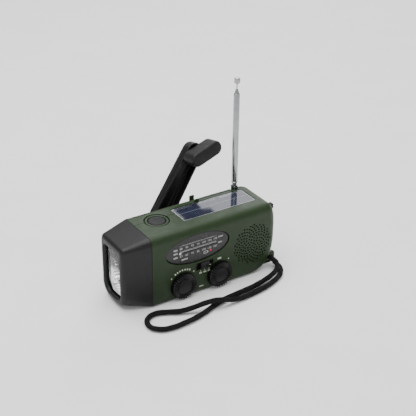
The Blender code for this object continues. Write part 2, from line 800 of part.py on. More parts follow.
def make_antenna():
    pin = (MAST_X, MAST_Y, MAST_Z)
    post = turned(
        "mast_swivel",
        [(0.0, MAST_Z + 1.4), (FOOT_RADIUS, MAST_Z + 1.4), (FOOT_RADIUS, MAST_Z - 5.5),
         (STEM_RADIUS, MAST_Z - 5.6), (STEM_RADIUS, MAST_Z - STEM_LONG), (0.0, MAST_Z - STEM_LONG)],
        facing(MAST_X, MAST_Y, 0, "+Z"), CHROME, 16,
    )
    fork = box(
        "fork_gap", (MAST_X - 4, MAST_Y - 0.9, MAST_Z - 3.0), (MAST_X + 4, MAST_Y + 0.9, MAST_Z + 4)
    )
    hole = rod("tilt_hole", (MAST_X, MAST_Y - 4, MAST_Z), (MAST_X, MAST_Y + 4, MAST_Z), 0.8, sides=12)
    cut(post, fork, hole)
    screw = rod("tilt_screw", (MAST_X, MAST_Y - 2.4, MAST_Z), (MAST_X, MAST_Y + 2.4, MAST_Z), 0.5, STEEL, 12)
    hinge_on(pin, post, screw)
    bracket = box(
        "mast_bracket", (MAST_X - 6, MAST_Y - 4, MAST_Z - 8.6),
        (MAST_X + 5, BACK - WALL - 0.4, MAST_Z - 7.2), STEEL,
    )
    cut(bracket, rod(
        "bracket_hole", (MAST_X, MAST_Y, MAST_Z - 12), (MAST_X, MAST_Y, MAST_Z - 5),
        STEM_RADIUS + GAP, sides=12,
    ))

    blade = tube("mast_tube_1", MAST_RADII[0], MAST_WALL, MAST_LOW, MAST_HIGH)
    neck = rod("mast_neck", (MAST_X, MAST_Y, MAST_Z + 3.2), (MAST_X, MAST_Y, MAST_LOW + 1.5), 2.3, CHROME, 12)
    tongue = box(
        "mast_tongue", (MAST_X - 1.7, MAST_Y - 0.6, MAST_Z - 1.7), (MAST_X + 1.7, MAST_Y + 0.6, MAST_LOW)
    )
    join(blade, neck, tongue)
    cut(blade, rod("tongue_hole", (MAST_X, MAST_Y - 4, MAST_Z), (MAST_X, MAST_Y + 4, MAST_Z), 0.8, sides=12))
    tip = turned(
        "mast_rod",
        [(0.0, TIP_HIGH), (TIP_RADIUS - 0.8, TIP_HIGH), (TIP_RADIUS, TIP_HIGH - 0.8),
         (TIP_RADIUS, TIP_HIGH - 3.6), (MAST_ROD, TIP_HIGH - 4.6), (MAST_ROD, MAST_HIGH - 62),
         (0.0, MAST_HIGH - 62)],
        facing(MAST_X, MAST_Y, 0, "+Z"), CHROME, 12,
    )
    hinge_on(pin, blade)
    for number, radius in enumerate(MAST_RADII[1:], 2):
        lift = MAST_STEP * (number - 1)
        stage = tube(f"mast_tube_{number}", radius, MAST_WALL, MAST_LOW + 4 + lift, MAST_HIGH + lift)
        hinge_on(pin, stage)
    hinge_on(pin, tip)


# ---------------------------------------------------------------- crank
def crank_frame(lean):
    """The arm's own frame: X along it, Z out of its open side, origin on the fold pin."""
    along = math.radians(CRANK_ANGLE)
    tilt = math.radians(lean)
    flat = Vector((math.cos(along), 0, math.sin(along)))
    out = Vector((0, 1, 0))
    x_axis = flat * math.cos(tilt) + out * math.sin(tilt)
    z_axis = flat * math.sin(tilt) - out * math.cos(tilt)
    y_axis = z_axis.cross(x_axis)
    turn = Matrix((x_axis, y_axis, z_axis)).transposed().to_4x4()
    return Matrix.Translation((HUB_X, FOLD_Y, HUB_Z)) @ turn


def arm_outline(inset, start, round_steps):
    """The arm from above its open side: a taper with a round tip."""
    root_half = ARM_ROOT / 2 - inset
    tip_half = ARM_TIP / 2 - inset
    tip = arc((ARM_LENGTH, 0), tip_half, -90, 90, round_steps)
    return [(start, -root_half)] + tip + [(start, root_half)]


def place_pieces(matrix, *pieces):
    for piece in pieces:
        piece.data.transform(scaled(matrix))


def make_hub():
    """The part that turns in the back: shaft, disc and the eye for the fold pin."""
    flat = crank_frame(0.0)
    disc_top = BACK + 0.5
    hub = rod("crank_hub", (HUB_X, GEAR_Y - 2.5, HUB_Z), (HUB_X, BACK, HUB_Z), HUB_SHAFT, BLACK, 12)
    disc = rod(
        "hub_disc", (HUB_X, GEAR_Y + GEAR_THICK + GAP, HUB_Z), (HUB_X, disc_top, HUB_Z), HUB_RADIUS, sides=24
    )
    half = EYE_WIDTH / 2
    eye = rod("hub_eye", (0, -half, 0), (0, half, 0), EYE_RADIUS, sides=16)
    foot = box(
        "hub_foot", (-EYE_RADIUS + 0.4, 0.4 - half, 0),
        (EYE_RADIUS - 0.4, half - 0.4, FOLD_Y - disc_top + 0.5),
    )
    bore = rod("hub_bore", (0, -2 * half, 0), (0, 2 * half, 0), FOLD_PIN + GAP, sides=12)
    pin = rod("fold_pin", (0, -ARM_ROOT / 2 + 0.6, 0), (0, ARM_ROOT / 2 - 0.6, 0), FOLD_PIN, STEEL, 12)
    place_pieces(flat, eye, foot, bore, pin)
    join(hub, disc, eye, foot)
    cut(hub, bore)
    hinge_on((HUB_X, FOLD_Y, HUB_Z), hub, pin)


def make_arm():
    """A tray-shaped arm, its rims towards the front, with a pin for the grip."""
    frame = crank_frame(CRANK_LEAN)
    half = ARM_THICK / 2
    arm = plate("crank_arm", arm_outline(0.0, -ARM_THICK, 8), 2 * ARM_THICK, Matrix.Identity(4), BLACK)
    far = ARM_LENGTH + ARM_TIP
    side = plate(
        "arm_side", arc((0, 0), half, 90, 270, 6) + [(far, -half), (far, half)], 2 * ARM_ROOT,
        facing(0, 0, 0, "-Y"),
    )
    tray = plate(
        "arm_tray", arm_outline(ARM_RIM, 2 * half + 4.0, 8), ARM_THICK,
        Matrix.Translation((0, 0, ARM_FLOOR)),
    )
    boss = rod("grip_boss", (ARM_LENGTH, 0, -1.0 - half / 2), (ARM_LENGTH, 0, half - 0.6), 4.5, sides=16)
    notch = box(
        "arm_notch", (-ARM_THICK, -EYE_WIDTH / 2 - GAP, -ARM_THICK),
        (EYE_RADIUS + 1.5, EYE_WIDTH / 2 + GAP, ARM_THICK),
    )
    pin_hole = rod("arm_hole", (0, -ARM_ROOT, 0), (0, ARM_ROOT, 0), FOLD_PIN + GAP, sides=12)
    grip_hole = rod("grip_pin_hole", (ARM_LENGTH, 0, -9), (ARM_LENGTH, 0, 9), GRIP_PIN + GAP, sides=12)
    axle = rod(
        "grip_axle", (ARM_LENGTH, 0, -half + 0.4), (ARM_LENGTH, 0, half + GRIP_DEEP - 2), GRIP_PIN, STEEL, 12
    )
    place_pieces(frame, arm, side, tray, boss, notch, pin_hole, grip_hole, axle)
    combine(arm, side, "INTERSECT")
    cut(arm, tray)
    join(arm, boss)
    cut(arm, notch, pin_hole, grip_hole)
    hinge_on((HUB_X, FOLD_Y, HUB_Z), arm, axle)


def make_grip():
    """The grip that spins on the arm's tip, off its own middle."""
    turn = Matrix.Translation((ARM_LENGTH, 0, 0)) @ Matrix.Rotation(math.radians(GRIP_TURN), 4, "Z")
    place = crank_frame(CRANK_LEAN) @ turn
    reach = GRIP_LONG / 2 - GRIP_HIGH / 2
    outline = arc((GRIP_OFFSET + reach, 0), GRIP_HIGH / 2, -90, 90, 6)
    outline += arc((GRIP_OFFSET - reach, 0), GRIP_HIGH / 2, 90, 270, 6)
    base = ARM_THICK / 2 + 0.4
    grip = plate(
        "crank_grip", outline, GRIP_DEEP, Matrix.Translation((0, 0, base + GRIP_DEEP / 2)), BLACK
    )
    bore = rod("grip_bore", (0, 0, base - 1), (0, 0, base + GRIP_DEEP - 2), GRIP_PIN + GAP, sides=12)
    place_pieces(place, grip, bore)
    cut(grip, bore)
    hinge_on(place @ Vector((0, 0, 0)), grip)


def scaled(matrix):
    """The same turn, with its translation in metres."""
    place = matrix.copy()
    place.translation *= MM
    return place


# ---------------------------------------------------------------- drive train
def gear_outline(teeth, module, turn):
    """Straight-sided teeth with room for backlash."""
    pitch = module * teeth / 2
    tip, root = pitch + module - BACKLASH, pitch - 1.2 * module
    step = 2 * math.pi / teeth
    slack = BACKLASH / pitch / 2
    points = []
    for i in range(teeth):
        middle = turn + i * step
        for radius, share in ((root, -0.36), (tip, -0.12), (tip, 0.12), (root, 0.36)):
            lean = share * step
            lean -= math.copysign(slack, share)
            points.append((radius * math.cos(middle + lean), radius * math.sin(middle + lean)))
    return points


def make_gears():
    """Hub gear, compound idler and rotor pinion, all turning about Y."""
    drive = plate(
        "drive_gear", gear_outline(DRIVE_TEETH, GEAR_MODULE, 0.0), GEAR_THICK,
        facing(HUB_X, GEAR_Y + GEAR_THICK / 2, HUB_Z), WHITE,
    )
    cut(drive, rod("drive_bore", (HUB_X, 0, HUB_Z), (HUB_X, BACK, HUB_Z), HUB_SHAFT + GAP, sides=12))
    hinge_on((HUB_X, GEAR_Y, HUB_Z), drive)

    half_pinion = math.pi / PINION_TEETH
    idler = plate(
        "idler_gear", gear_outline(PINION_TEETH, GEAR_MODULE, math.pi + half_pinion),
        GEAR_THICK + 1.8, facing(IDLER_X, GEAR_Y + GEAR_THICK / 2 - 0.6, HUB_Z), WHITE,
    )
    wheel = plate(
        "idler_wheel", gear_outline(WHEEL_TEETH, ROTOR_MODULE, 0.0), 2.4,
        facing(IDLER_X, WHEEL_Y + 1.4, HUB_Z),
    )
    join(idler, wheel)
    cut(idler, rod("idler_bore", (IDLER_X, 0, HUB_Z), (IDLER_X, BACK, HUB_Z), 1.5 + GAP, sides=12))
    hinge_on((IDLER_X, GEAR_Y, HUB_Z), idler)

    half_rotor = math.pi / ROTOR_TEETH
    rotor = plate(
        "dynamo_rotor", gear_outline(ROTOR_TEETH, ROTOR_MODULE, math.pi + half_rotor), 2.8,
        facing(ROTOR_X, WHEEL_Y + 1.4, HUB_Z), STEEL,
    )
    join(rotor, rod("rotor_shaft", (ROTOR_X, -1, HUB_Z), (ROTOR_X, WHEEL_Y + 2.4, HUB_Z), 1.2, sides=12))
    hinge_on((ROTOR_X, WHEEL_Y, HUB_Z), rotor)

    can_back = WHEEL_Y - 2.4
    can = rod("dynamo_case", (ROTOR_X, -4.5, HUB_Z), (ROTOR_X, can_back, HUB_Z), DYNAMO_RADIUS, STEEL, 24)
    cut(can, rod("can_bore", (ROTOR_X, -1.5, HUB_Z), (ROTOR_X, BACK, HUB_Z), 1.2 + GAP, sides=12))
    frame = box(
        "gear_frame", (IDLER_X - 6, can_back + GAP, HUB_Z - 8),
        (ROTOR_X + 12, can_back + GAP + 1.2, HUB_Z + 8), BLACK,
    )
    cut(frame, rod("frame_hole", (ROTOR_X, 0, HUB_Z), (ROTOR_X, BACK, HUB_Z), 1.9, sides=12))
    post = rod(
        "idler_post", (IDLER_X, can_back + 0.8, HUB_Z), (IDLER_X, BACK - WALL - GAP, HUB_Z), 1.5, sides=12
    )
    join(frame, post)


# ---------------------------------------------------------------- inside


def make_inside():
    box(
        "main_board", (SEAM + 3, BOARD_FRONT, 4), (20, BOARD_FRONT + 1.5, HEIGHT - 6), BOARD
    )
    rod("battery", (-10, 4.0, 9.4), (40, 4.0, 9.4), 6.8, BLUE, 16)
    bar = (FERRITE_Y, FERRITE_Z)
    rod("ferrite_bar", (-22, *bar), (27, *bar), FERRITE_RADIUS, FERRITE, 12)
    coil = rod("ferrite_coil", (4, *bar), (16, *bar), FERRITE_RADIUS + 1.4, COPPER, 12)
    cut(coil, rod("coil_bore", (0, *bar), (20, *bar), FERRITE_RADIUS + GAP, sides=12))


# ---------------------------------------------------------------- right end
def make_port(front):
    socket = box(
        "charge_socket", (RIGHT - 12, PORT_Y - 4.5, PORT_Z - 3.2),
        (RIGHT - 4.0, PORT_Y + 4.5, PORT_Z + 3.2), STEEL,
    )
    cut(socket, box(
        "socket_mouth", (RIGHT - 9, PORT_Y - 3.8, PORT_Z - 1.4), (RIGHT, PORT_Y + 3.8, PORT_Z + 1.4)
    ))
    cover = case_body("port_cover", 0.0, 0.0, RUBBER)
    cover.location.x = 1.9 * MM
    skin = case_body("cover_inside", 0.0, -2.0)
    skin.location.x = GAP * MM
    span = box("cover_span", (RIGHT - 14, PORT_Y - 8, PORT_Z - 9), (RIGHT + 5, PORT_Y + 8, PORT_Z + 7.5))
    combine(cover, span, "INTERSECT")
    cut(cover, skin)
    join(cover, box(
        "cover_tab", (RIGHT + 0.6, PORT_Y - 7, PORT_Z + 3), (RIGHT + TAB_PROUD, PORT_Y - 3, PORT_Z + 7)
    ))
    hinge_on((RIGHT + 1.1, PORT_Y, PORT_Z - 9), cover)
    hole = CORD_RADIUS + 0.7
    half = hole + LUG_SIDE
    middle = LUG_END - half
    lug = box(
        "lug_block", (middle - 2 * half, LUG_Y - LUG_THICK / 2, LUG_Z - half),
        (LUG_END, LUG_Y + LUG_THICK / 2, LUG_Z + half), BLACK, 1.0,
    )
    eye = box(
        "lug_eye", (middle - hole, LUG_Y - LUG_THICK, LUG_Z - hole),
        (middle + hole, LUG_Y + LUG_THICK, LUG_Z + hole),
    )
    join(front, lug)
    cut(front, eye)


CORD_POINTS = [
    (61.8, -10.5, 7.0), (61.8, -16.0, 7.0), (62.0, -21.5, 7.5), (61.2, -26.6, 7.4), (58.6, -31.0, 6.6),
    (53.5, -34.0, 5.4), (47.0, -35.6, 4.0), (40.5, -36.4, 3.0), (33.0, -37.4, 2.3), (24.4, -38.3, 2.2),
    (15.0, -39.2, 2.2), (5.5, -40.4, 2.2), (-5.8, -43.4, 2.2), (-16.0, -47.2, 2.2), (-25.5, -49.6, 2.2),
    (-34.0, -50.6, 2.2), (-43.0, -51.2, 2.2), (-51.5, -49.4, 2.2), (-57.0, -43.6, 2.2),
    (-56.4, -35.8, 2.2), (-51.0, -31.0, 2.2), (-44.5, -30.6, 2.2), (-37.5, -33.4, 2.2),
    (-30.0, -37.4, 2.6), (-22.0, -40.6, 4.4), (-14.0, -43.0, 6.6), (-6.5, -44.4, 7.2), (0.5, -45.4, 6.2),
    (8.0, -45.8, 3.8), (16.0, -45.6, 2.4), (24.0, -45.0, 2.2), (32.5, -43.8, 2.2), (41.7, -42.0, 2.2),
    (50.5, -38.8, 2.2), (57.5, -35.2, 2.2), (62.6, -30.2, 2.2), (65.0, -25.6, 2.2), (65.5, -21.4, 2.4),
    (65.3, -17.6, 2.9),
]


def smooth_route(points, step):
    """Points about every step along a smooth curve through the given ones."""
    dense = []
    ends = [2 * Vector(points[0]) - Vector(points[1])] + [Vector(p) for p in points]
    ends.append(2 * Vector(points[-1]) - Vector(points[-2]))
    for i in range(1, len(ends) - 2):
        a, b, c, d = ends[i - 1 : i + 3]
        for k in range(20):
            t = k / 20
            dense.append(
                0.5 * (2 * b + (c - a) * t + (2 * a - 5 * b + 4 * c - d) * t**2
                       + (3 * b - a - 3 * c + d) * t**3)
            )
    dense.append(ends[-2])
    total = sum((q - p).length for p, q in zip(dense, dense[1:]))
    count = max(2, round(total / step))
    route, walked, want = [dense[0]], 0.0, total / count
    for p, q in zip(dense, dense[1:]):
        span = (q - p).length
        while walked + span >= want - 1e-9 and len(route) < count:
            route.append(p.lerp(q, (want - walked) / span))
            want += total / count
        walked += span
    route.append(dense[-1])
    return route


def make_cord():
    route = smooth_route(CORD_POINTS, CORD_STEP)
    curve = bpy.data.curves.new("wrist_strap", "CURVE")
    curve.dimensions = "3D"
    curve.bevel_depth = CORD_RADIUS * MM
    curve.bevel_resolution = 2
    curve.use_fill_caps = True
    spline = curve.splines.new("POLY")
    spline.points.add(len(route) - 1)
    for point, place in zip(spline.points, route):
        point.co = (*(place * MM), 1.0)
    curve.materials.append(WEBBING)
    item = bpy.data.objects.new("wrist_strap", curve)
    PARTS.objects.link(item)


def make_radio():
    front, rear = make_case()
    make_screws(rear)
    make_head()
    make_dial()
    cap_y = BOARD_FRONT - GAP
    make_knob(
        "tuning_knob", TUNING_X, "tuning_capacitor",
        (TUNING_X - 10, cap_y - 7, KNOB_Z - 8), (TUNING_X + 10, cap_y, KNOB_Z + 8),
    )
    make_knob(
        "volume_knob", VOLUME_X, "volume_control",
        (VOLUME_X - 8, cap_y - 7, KNOB_Z - 8), (VOLUME_X + 8, cap_y, KNOB_Z + 7.4),
    )
    make_switch()
    make_speaker()
    make_button()
    make_solar()
    make_antenna()
    make_hub()
    make_arm()
    make_grip()
    make_gears()
    make_inside()
    make_port(front)
    make_cord()


make_radio()
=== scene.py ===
import json
import math

import bmesh
import bpy
from bpy.props import FloatProperty, FloatVectorProperty, IntProperty, PointerProperty
from bpy.types import Operator, Panel, PropertyGroup
from mathutils import Matrix, Vector


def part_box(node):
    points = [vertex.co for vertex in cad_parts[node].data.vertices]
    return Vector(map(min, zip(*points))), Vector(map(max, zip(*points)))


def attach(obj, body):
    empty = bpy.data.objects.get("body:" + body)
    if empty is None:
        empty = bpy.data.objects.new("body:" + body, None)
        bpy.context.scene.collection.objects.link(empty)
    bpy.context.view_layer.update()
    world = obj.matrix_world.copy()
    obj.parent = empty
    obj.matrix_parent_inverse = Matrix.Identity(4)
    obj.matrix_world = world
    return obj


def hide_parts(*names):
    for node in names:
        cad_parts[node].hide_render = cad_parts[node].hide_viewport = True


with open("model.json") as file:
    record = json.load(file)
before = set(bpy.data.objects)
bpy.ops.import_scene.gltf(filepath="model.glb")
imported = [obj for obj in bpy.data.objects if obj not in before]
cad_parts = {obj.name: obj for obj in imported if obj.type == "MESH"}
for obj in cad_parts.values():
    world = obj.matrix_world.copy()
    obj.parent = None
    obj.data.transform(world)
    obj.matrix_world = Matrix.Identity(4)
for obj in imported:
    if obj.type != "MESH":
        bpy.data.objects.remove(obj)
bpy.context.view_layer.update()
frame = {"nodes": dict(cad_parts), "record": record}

bl_info = {
    "name": "Emergency radio",
    "version": (1, 0, 0),
    "blender": (4, 5, 0),
    "location": "View3D > Sidebar > Radio",
    "description": "Builds the visible pieces and finishes of a hand-crank emergency radio",
    "category": "Add Mesh",
}

MM = 0.001


def span(node):
    """A CAD node's lowest and highest corner, in millimetres."""
    low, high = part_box(node)
    return Vector(low) / MM, Vector(high) / MM


def centre(node):
    low, high = span(node)
    return (low + high) / 2


def joint(name):
    return next(item for item in frame["record"]["behaviour"]["joints"] if item["name"] == name)


def at(place, angle=0.0, axis="Z"):
    """The matrix that turns about one axis and then moves to place."""
    return Matrix.Translation(place) @ Matrix.Rotation(math.radians(angle), 4, axis)


# Places that the pieces share, in millimetres, all read from the frame.
SEAM = span("front_case")[0].x
FACE = span("front_case")[0].y
PARTING = span("front_case")[1].y
TOP = span("front_case")[1].z
RIGHT = span("rear_case")[1].x
BACK = span("rear_case")[1].y
RIM = span("head_shell")[0].x
HEAD_SEAM = span("head_shell")[1].x
DEPTH = BACK - FACE
DIAL_LOW, DIAL_HIGH = span("dial_window")
DIAL = centre("dial_window")
TUNING = centre("tuning_knob")
VOLUME = centre("volume_knob")
SWITCH = centre("switch_body")
SPEAKER = centre("speaker_basket")
BUTTON = centre("torch_button")
PANEL_LOW, PANEL_HIGH = span("solar_window")
LENS_LOW, LENS_HIGH = span("torch_lens")
MAST_PIVOT_Z = joint("antenna_tilt")["pos_m"][2] / MM
HUB = centre("crank_hub")
PORT = centre("charge_socket")
POCKET_LOW, POCKET_HIGH = [
    Vector(corner) / MM for corner in frame["record"]["physics"]["openings"][0]["box_m"]
]

# The moulding of the case.
WALL = 2.0
GAP = 0.3
TOP_EDGE = 6.0
BASE_EDGE = 3.0
END_MIDDLE = 33.0          # height of the right end's furthest point
END_LOW = 24.0             # how far the lower right curve reaches inwards
END_HIGH = 10.0
LOW_POWER = 2.6
HIGH_POWER = 3.0
FAR = 200.0                # past everything, for cutting away a whole side

# The torch head.
HEAD_HALF = 16.3           # half width of its front
HEAD_FALL = 4.2            # how far its top falls towards the lens
HEAD_RISE = 1.4
HEAD_ROUND = 3.5           # rounding of the rim
HEAD_LOW_RADIUS = 11.0
HEAD_HIGH_RADIUS = 3.5
HEAD_WALL = 1.8
WINDOW_LOW_RADIUS = 7.0
WINDOW_HIGH_RADIUS = 3.5
CUP_MOUTH = 5.0
CUP_THROAT = 1.9
CUP_DEPTH = 6.0
LED_RADIUS = 1.6

# Openings in the case.
KNOB_WELL = 10.6
SHAFT_HOLE = 3.3
SLOT_HALF_WIDE = 7.3
SLOT_HALF_HIGH = 3.0
LUG_EYE = Vector((4.6, -15.0, 7.0))    # its first value is the distance in from the lug's end
LUG_HOLE = 2.8
HUB_HOLE = 10.8
GROOVE_RADIUS = 2.8
FOOT_HOLE = 3.3
SCREW_HEAD_HOLE = 2.9
SCREW_SHANK_HOLE = 1.5
CLIP_LEFT = 12.6
CLIP_RIGHT = 16.6
CLIP_HALF_GAP = 3.3

# The crank.
ARM_ROOT = 17.6            # width at the hub
ARM_TIP = 15.2             # width at the grip
ARM_HALF = 3.5             # half its thickness
ARM_FLOOR = 1.8
ARM_RIM = 1.6
FOLD_HOLE = 1.6
AXLE_HOLE = 2.3
GRIP_REACH = 9.0           # half the distance between its end rounds
GRIP_HALF = 5.5
GRIP_OFFSET = 2.5
GRIP_DEEP = 12.0
GRIP_TURN = -35.0          # degrees across the arm


# ------------------------------------------------------------------ settings
class RadioSizes(PropertyGroup):
    edge_steps: IntProperty(name="Edge steps", description="Facets in each rounded case edge", default=8)
    end_steps: IntProperty(name="End steps", description="Facets in each curve of the right end", default=16)
    hole_pitch: FloatProperty(
        name="Grille pitch", description="Distance between grille holes in millimetres", default=2.5
    )
    hole_radius: FloatProperty(
        name="Grille hole", description="Radius of a grille hole in millimetres", default=0.74
    )
    knob_ribs: IntProperty(name="Knob ribs", description="Ribs round each thumb knob", default=30)
    braid_pitch: FloatProperty(
        name="Braid pitch", description="Length of one turn of a strand in millimetres", default=9.0
    )


def shade(name, default):
    return FloatVectorProperty(
        name=name, description=f"Colour of the {name.lower()}", subtype="COLOR", size=3, min=0, max=1,
        default=default,
    )


class RadioColours(PropertyGroup):
    case: shade("Case", (0.0115, 0.0265, 0.0065))
    head: shade("Torch head", (0.0065, 0.0065, 0.0075))
    black: shade("Black mouldings", (0.0055, 0.0055, 0.0058))
    rubber: shade("Rubber", (0.007, 0.007, 0.0075))
    dial: shade("Dial", (0.022, 0.021, 0.022))
    braid: shade("Braid", (0.0016, 0.0016, 0.0017))
    cell: shade("Solar cell", (0.010, 0.012, 0.026))


# ------------------------------------------------------------------ materials
def set_inputs(node, values):
    for name, value in values.items():
        node.inputs[name].default_value = value


def add_node(tree, kind, values, into=None, source=None):
    """Add a shader node, set its inputs by name and link source into one of them."""
    node = tree.nodes.new(f"ShaderNode{kind}")
    set_inputs(node, values)
    if source:
        tree.links.new(source, node.inputs[into])
    return node


def new_material(name, values):
    """A material with its node tree and its shader, whose inputs are set by name."""
    material = bpy.data.materials.new(name)
    material.use_nodes = True
    shader = material.node_tree.nodes["Principled BSDF"]
    set_inputs(shader, values)
    return material, material.node_tree, shader


def own_place(tree):
    """The piece's own coordinates, in metres."""
    return add_node(tree, "TexCoord", {}).outputs["Object"]


def calculate(tree, operation, *values):
    """A Math node; each value is a number or another node's output."""
    node = tree.nodes.new("ShaderNodeMath")
    node.operation = operation
    for socket, value in zip(node.inputs, values):
        if isinstance(value, float):
            socket.default_value = value
        else:
            tree.links.new(value, socket)
    return node.outputs[0]


def ramp(tree, source, low, high, start=0.35, end=0.65):
    """A colour ramp from low to high."""
    node = add_node(tree, "ValToRGB", {}, "Fac", source)
    for element, place, colour in zip(node.color_ramp.elements, (start, end), (low, high)):
        element.position = place
        element.color = (*colour, 1)
    return node.outputs["Color"]


def noise(tree, scale, detail=3.0, stretch=None):
    """Noise in the piece's own coordinates; scale is in cells per metre."""
    source = own_place(tree)
    if stretch:
        source = add_node(tree, "Mapping", {"Scale": stretch}, "Vector", source).outputs["Vector"]
    return add_node(tree, "TexNoise", {"Scale": scale, "Detail": detail}, "Vector", source).outputs["Fac"]


def bump(tree, shader, source, strength, distance):
    node = add_node(tree, "Bump", {"Strength": strength, "Distance": distance}, "Height", source)
    tree.links.new(node.outputs["Normal"], shader.inputs["Normal"])


def tinted(tree, shader, scale, low, high):
    """Let noise mix two colours over the surface."""
    tree.links.new(ramp(tree, noise(tree, scale), low, high), shader.inputs["Base Color"])


def uneven(tree, shader, source, low, high):
    """Let noise move the roughness between two values."""
    values = {"From Min": 0.3, "From Max": 0.7, "To Min": low, "To Max": high}
    node = add_node(tree, "MapRange", values, "Value", source)
    tree.links.new(node.outputs["Result"], shader.inputs["Roughness"])


def scaled(colour, share):
    return tuple(min(1.0, part * share) for part in colour)


def plastic(name, colour, roughness, grain=2600.0, depth=0.00006, strength=0.25):
    """Moulded plastic: a fine spark grain, faint mottling and patches that shine a little more."""
    material, tree, shader = new_material(name, {"Specular IOR Level": 0.3})
    tinted(tree, shader, 90, scaled(colour, 0.92), scaled(colour, 1.09))
    uneven(tree, shader, noise(tree, 240), roughness - 0.05, roughness + 0.06)
    bump(tree, shader, noise(tree, grain, 2.0), strength, depth)
    return material


def metal(name, colour, roughness, stretch=(1, 1, 1)):
    """Metal with fine lines along one direction."""
    material, tree, shader = new_material(name, {"Metallic": 1.0})
    tinted(tree, shader, 300, scaled(colour, 0.93), scaled(colour, 1.05))
    uneven(tree, shader, noise(tree, 900, 2.0, stretch), roughness * 0.7, roughness * 1.4)
    bump(tree, shader, noise(tree, 1500, 2.0, stretch), 0.12, 0.00003)
    return material


def clear(name, tint, roughness=0.04):
    """A clear moulding with faint ripples."""
    material, tree, shader = new_material(name, {"Transmission Weight": 1.0, "IOR": 1.49})
    tinted(tree, shader, 60, scaled(tint, 0.97), tint)
    uneven(tree, shader, noise(tree, 200), roughness, roughness * 2)
    bump(tree, shader, noise(tree, 120, 1.0), 0.05, 0.0001)
    return material


def glowing(name, colour, strength):
    """A small lit lamp, slightly mottled."""
    glow = {"Roughness": 0.25, "Emission Color": (*colour, 1), "Emission Strength": strength}
    material, tree, shader = new_material(name, glow)
    tinted(tree, shader, 700, scaled(colour, 0.8), colour)
    return material


def cell_material(name, colour):
    """Dark solar cells, with thin silver lines across and two bus bars along."""
    material, tree, shader = new_material(name, {"IOR": 1.5})
    split = add_node(tree, "SeparateXYZ", {}, "Vector", own_place(tree))

    def lines(axis, pitch, share, offset=0.0):
        shifted = calculate(tree, "ADD", split.outputs[axis], offset + 10 * pitch)
        wrapped = calculate(tree, "MODULO", shifted, pitch)
        return calculate(tree, "LESS_THAN", wrapped, pitch * share)

    both = calculate(tree, "MAXIMUM", lines("X", 0.0016, 0.09), lines("Y", 0.0098, 0.06, -0.0021))
    mix = tree.nodes.new("ShaderNodeMix")
    mix.data_type = "RGBA"
    mottled = ramp(tree, noise(tree, 160), scaled(colour, 0.75), scaled(colour, 1.3))
    tree.links.new(both, mix.inputs["Factor"])
    tree.links.new(mottled, mix.inputs["A"])
    mix.inputs["B"].default_value = (0.10, 0.11, 0.15, 1)
    tree.links.new(mix.outputs["Result"], shader.inputs["Base Color"])
    uneven(tree, shader, noise(tree, 80), 0.09, 0.13)
    return material


def braid_material(name, colour):
    """Braided yarn: fine twist lines in each strand and a soft sheen."""
    soft = {"Specular IOR Level": 0.25, "Sheen Weight": 0.02, "Sheen Roughness": 0.5}
    material, tree, shader = new_material(name, soft)
    wave = add_node(tree, "TexWave", {"Scale": 900, "Distortion": 3.0}, "Vector", own_place(tree))
    wave.bands_direction = "DIAGONAL"
    twist = ramp(tree, wave.outputs["Fac"], scaled(colour, 0.6), scaled(colour, 1.7), 0.2, 0.8)
    tree.links.new(twist, shader.inputs["Base Color"])
    uneven(tree, shader, noise(tree, 900), 0.65, 0.85)
    bump(tree, shader, wave.outputs["Fac"], 0.5, 0.0002)
    return material


def board_material(name):
    """A green circuit board with lighter tracks."""
    material, tree, shader = new_material(name, {"Roughness": 0.4})
    bricks = {
        "Scale": 260, "Mortar Size": 0.03, "Color1": (0.01, 0.09, 0.03, 1), "Color2": (0.012, 0.12, 0.04, 1),
        "Mortar": (0.03, 0.2, 0.07, 1),
    }
    node = add_node(tree, "TexBrick", bricks, "Vector", own_place(tree))
    tree.links.new(node.outputs["Color"], shader.inputs["Base Color"])
    return material


def floor_material():
    """A pale paper sweep with a barely visible tooth."""
    material, tree, shader = new_material("paper_sweep", {"Roughness": 0.9})
    tinted(tree, shader, 25, (0.86, 0.86, 0.86), (0.88, 0.88, 0.88))
    bump(tree, shader, noise(tree, 800), 0.05, 0.0001)
    return material


MATERIALS = {}


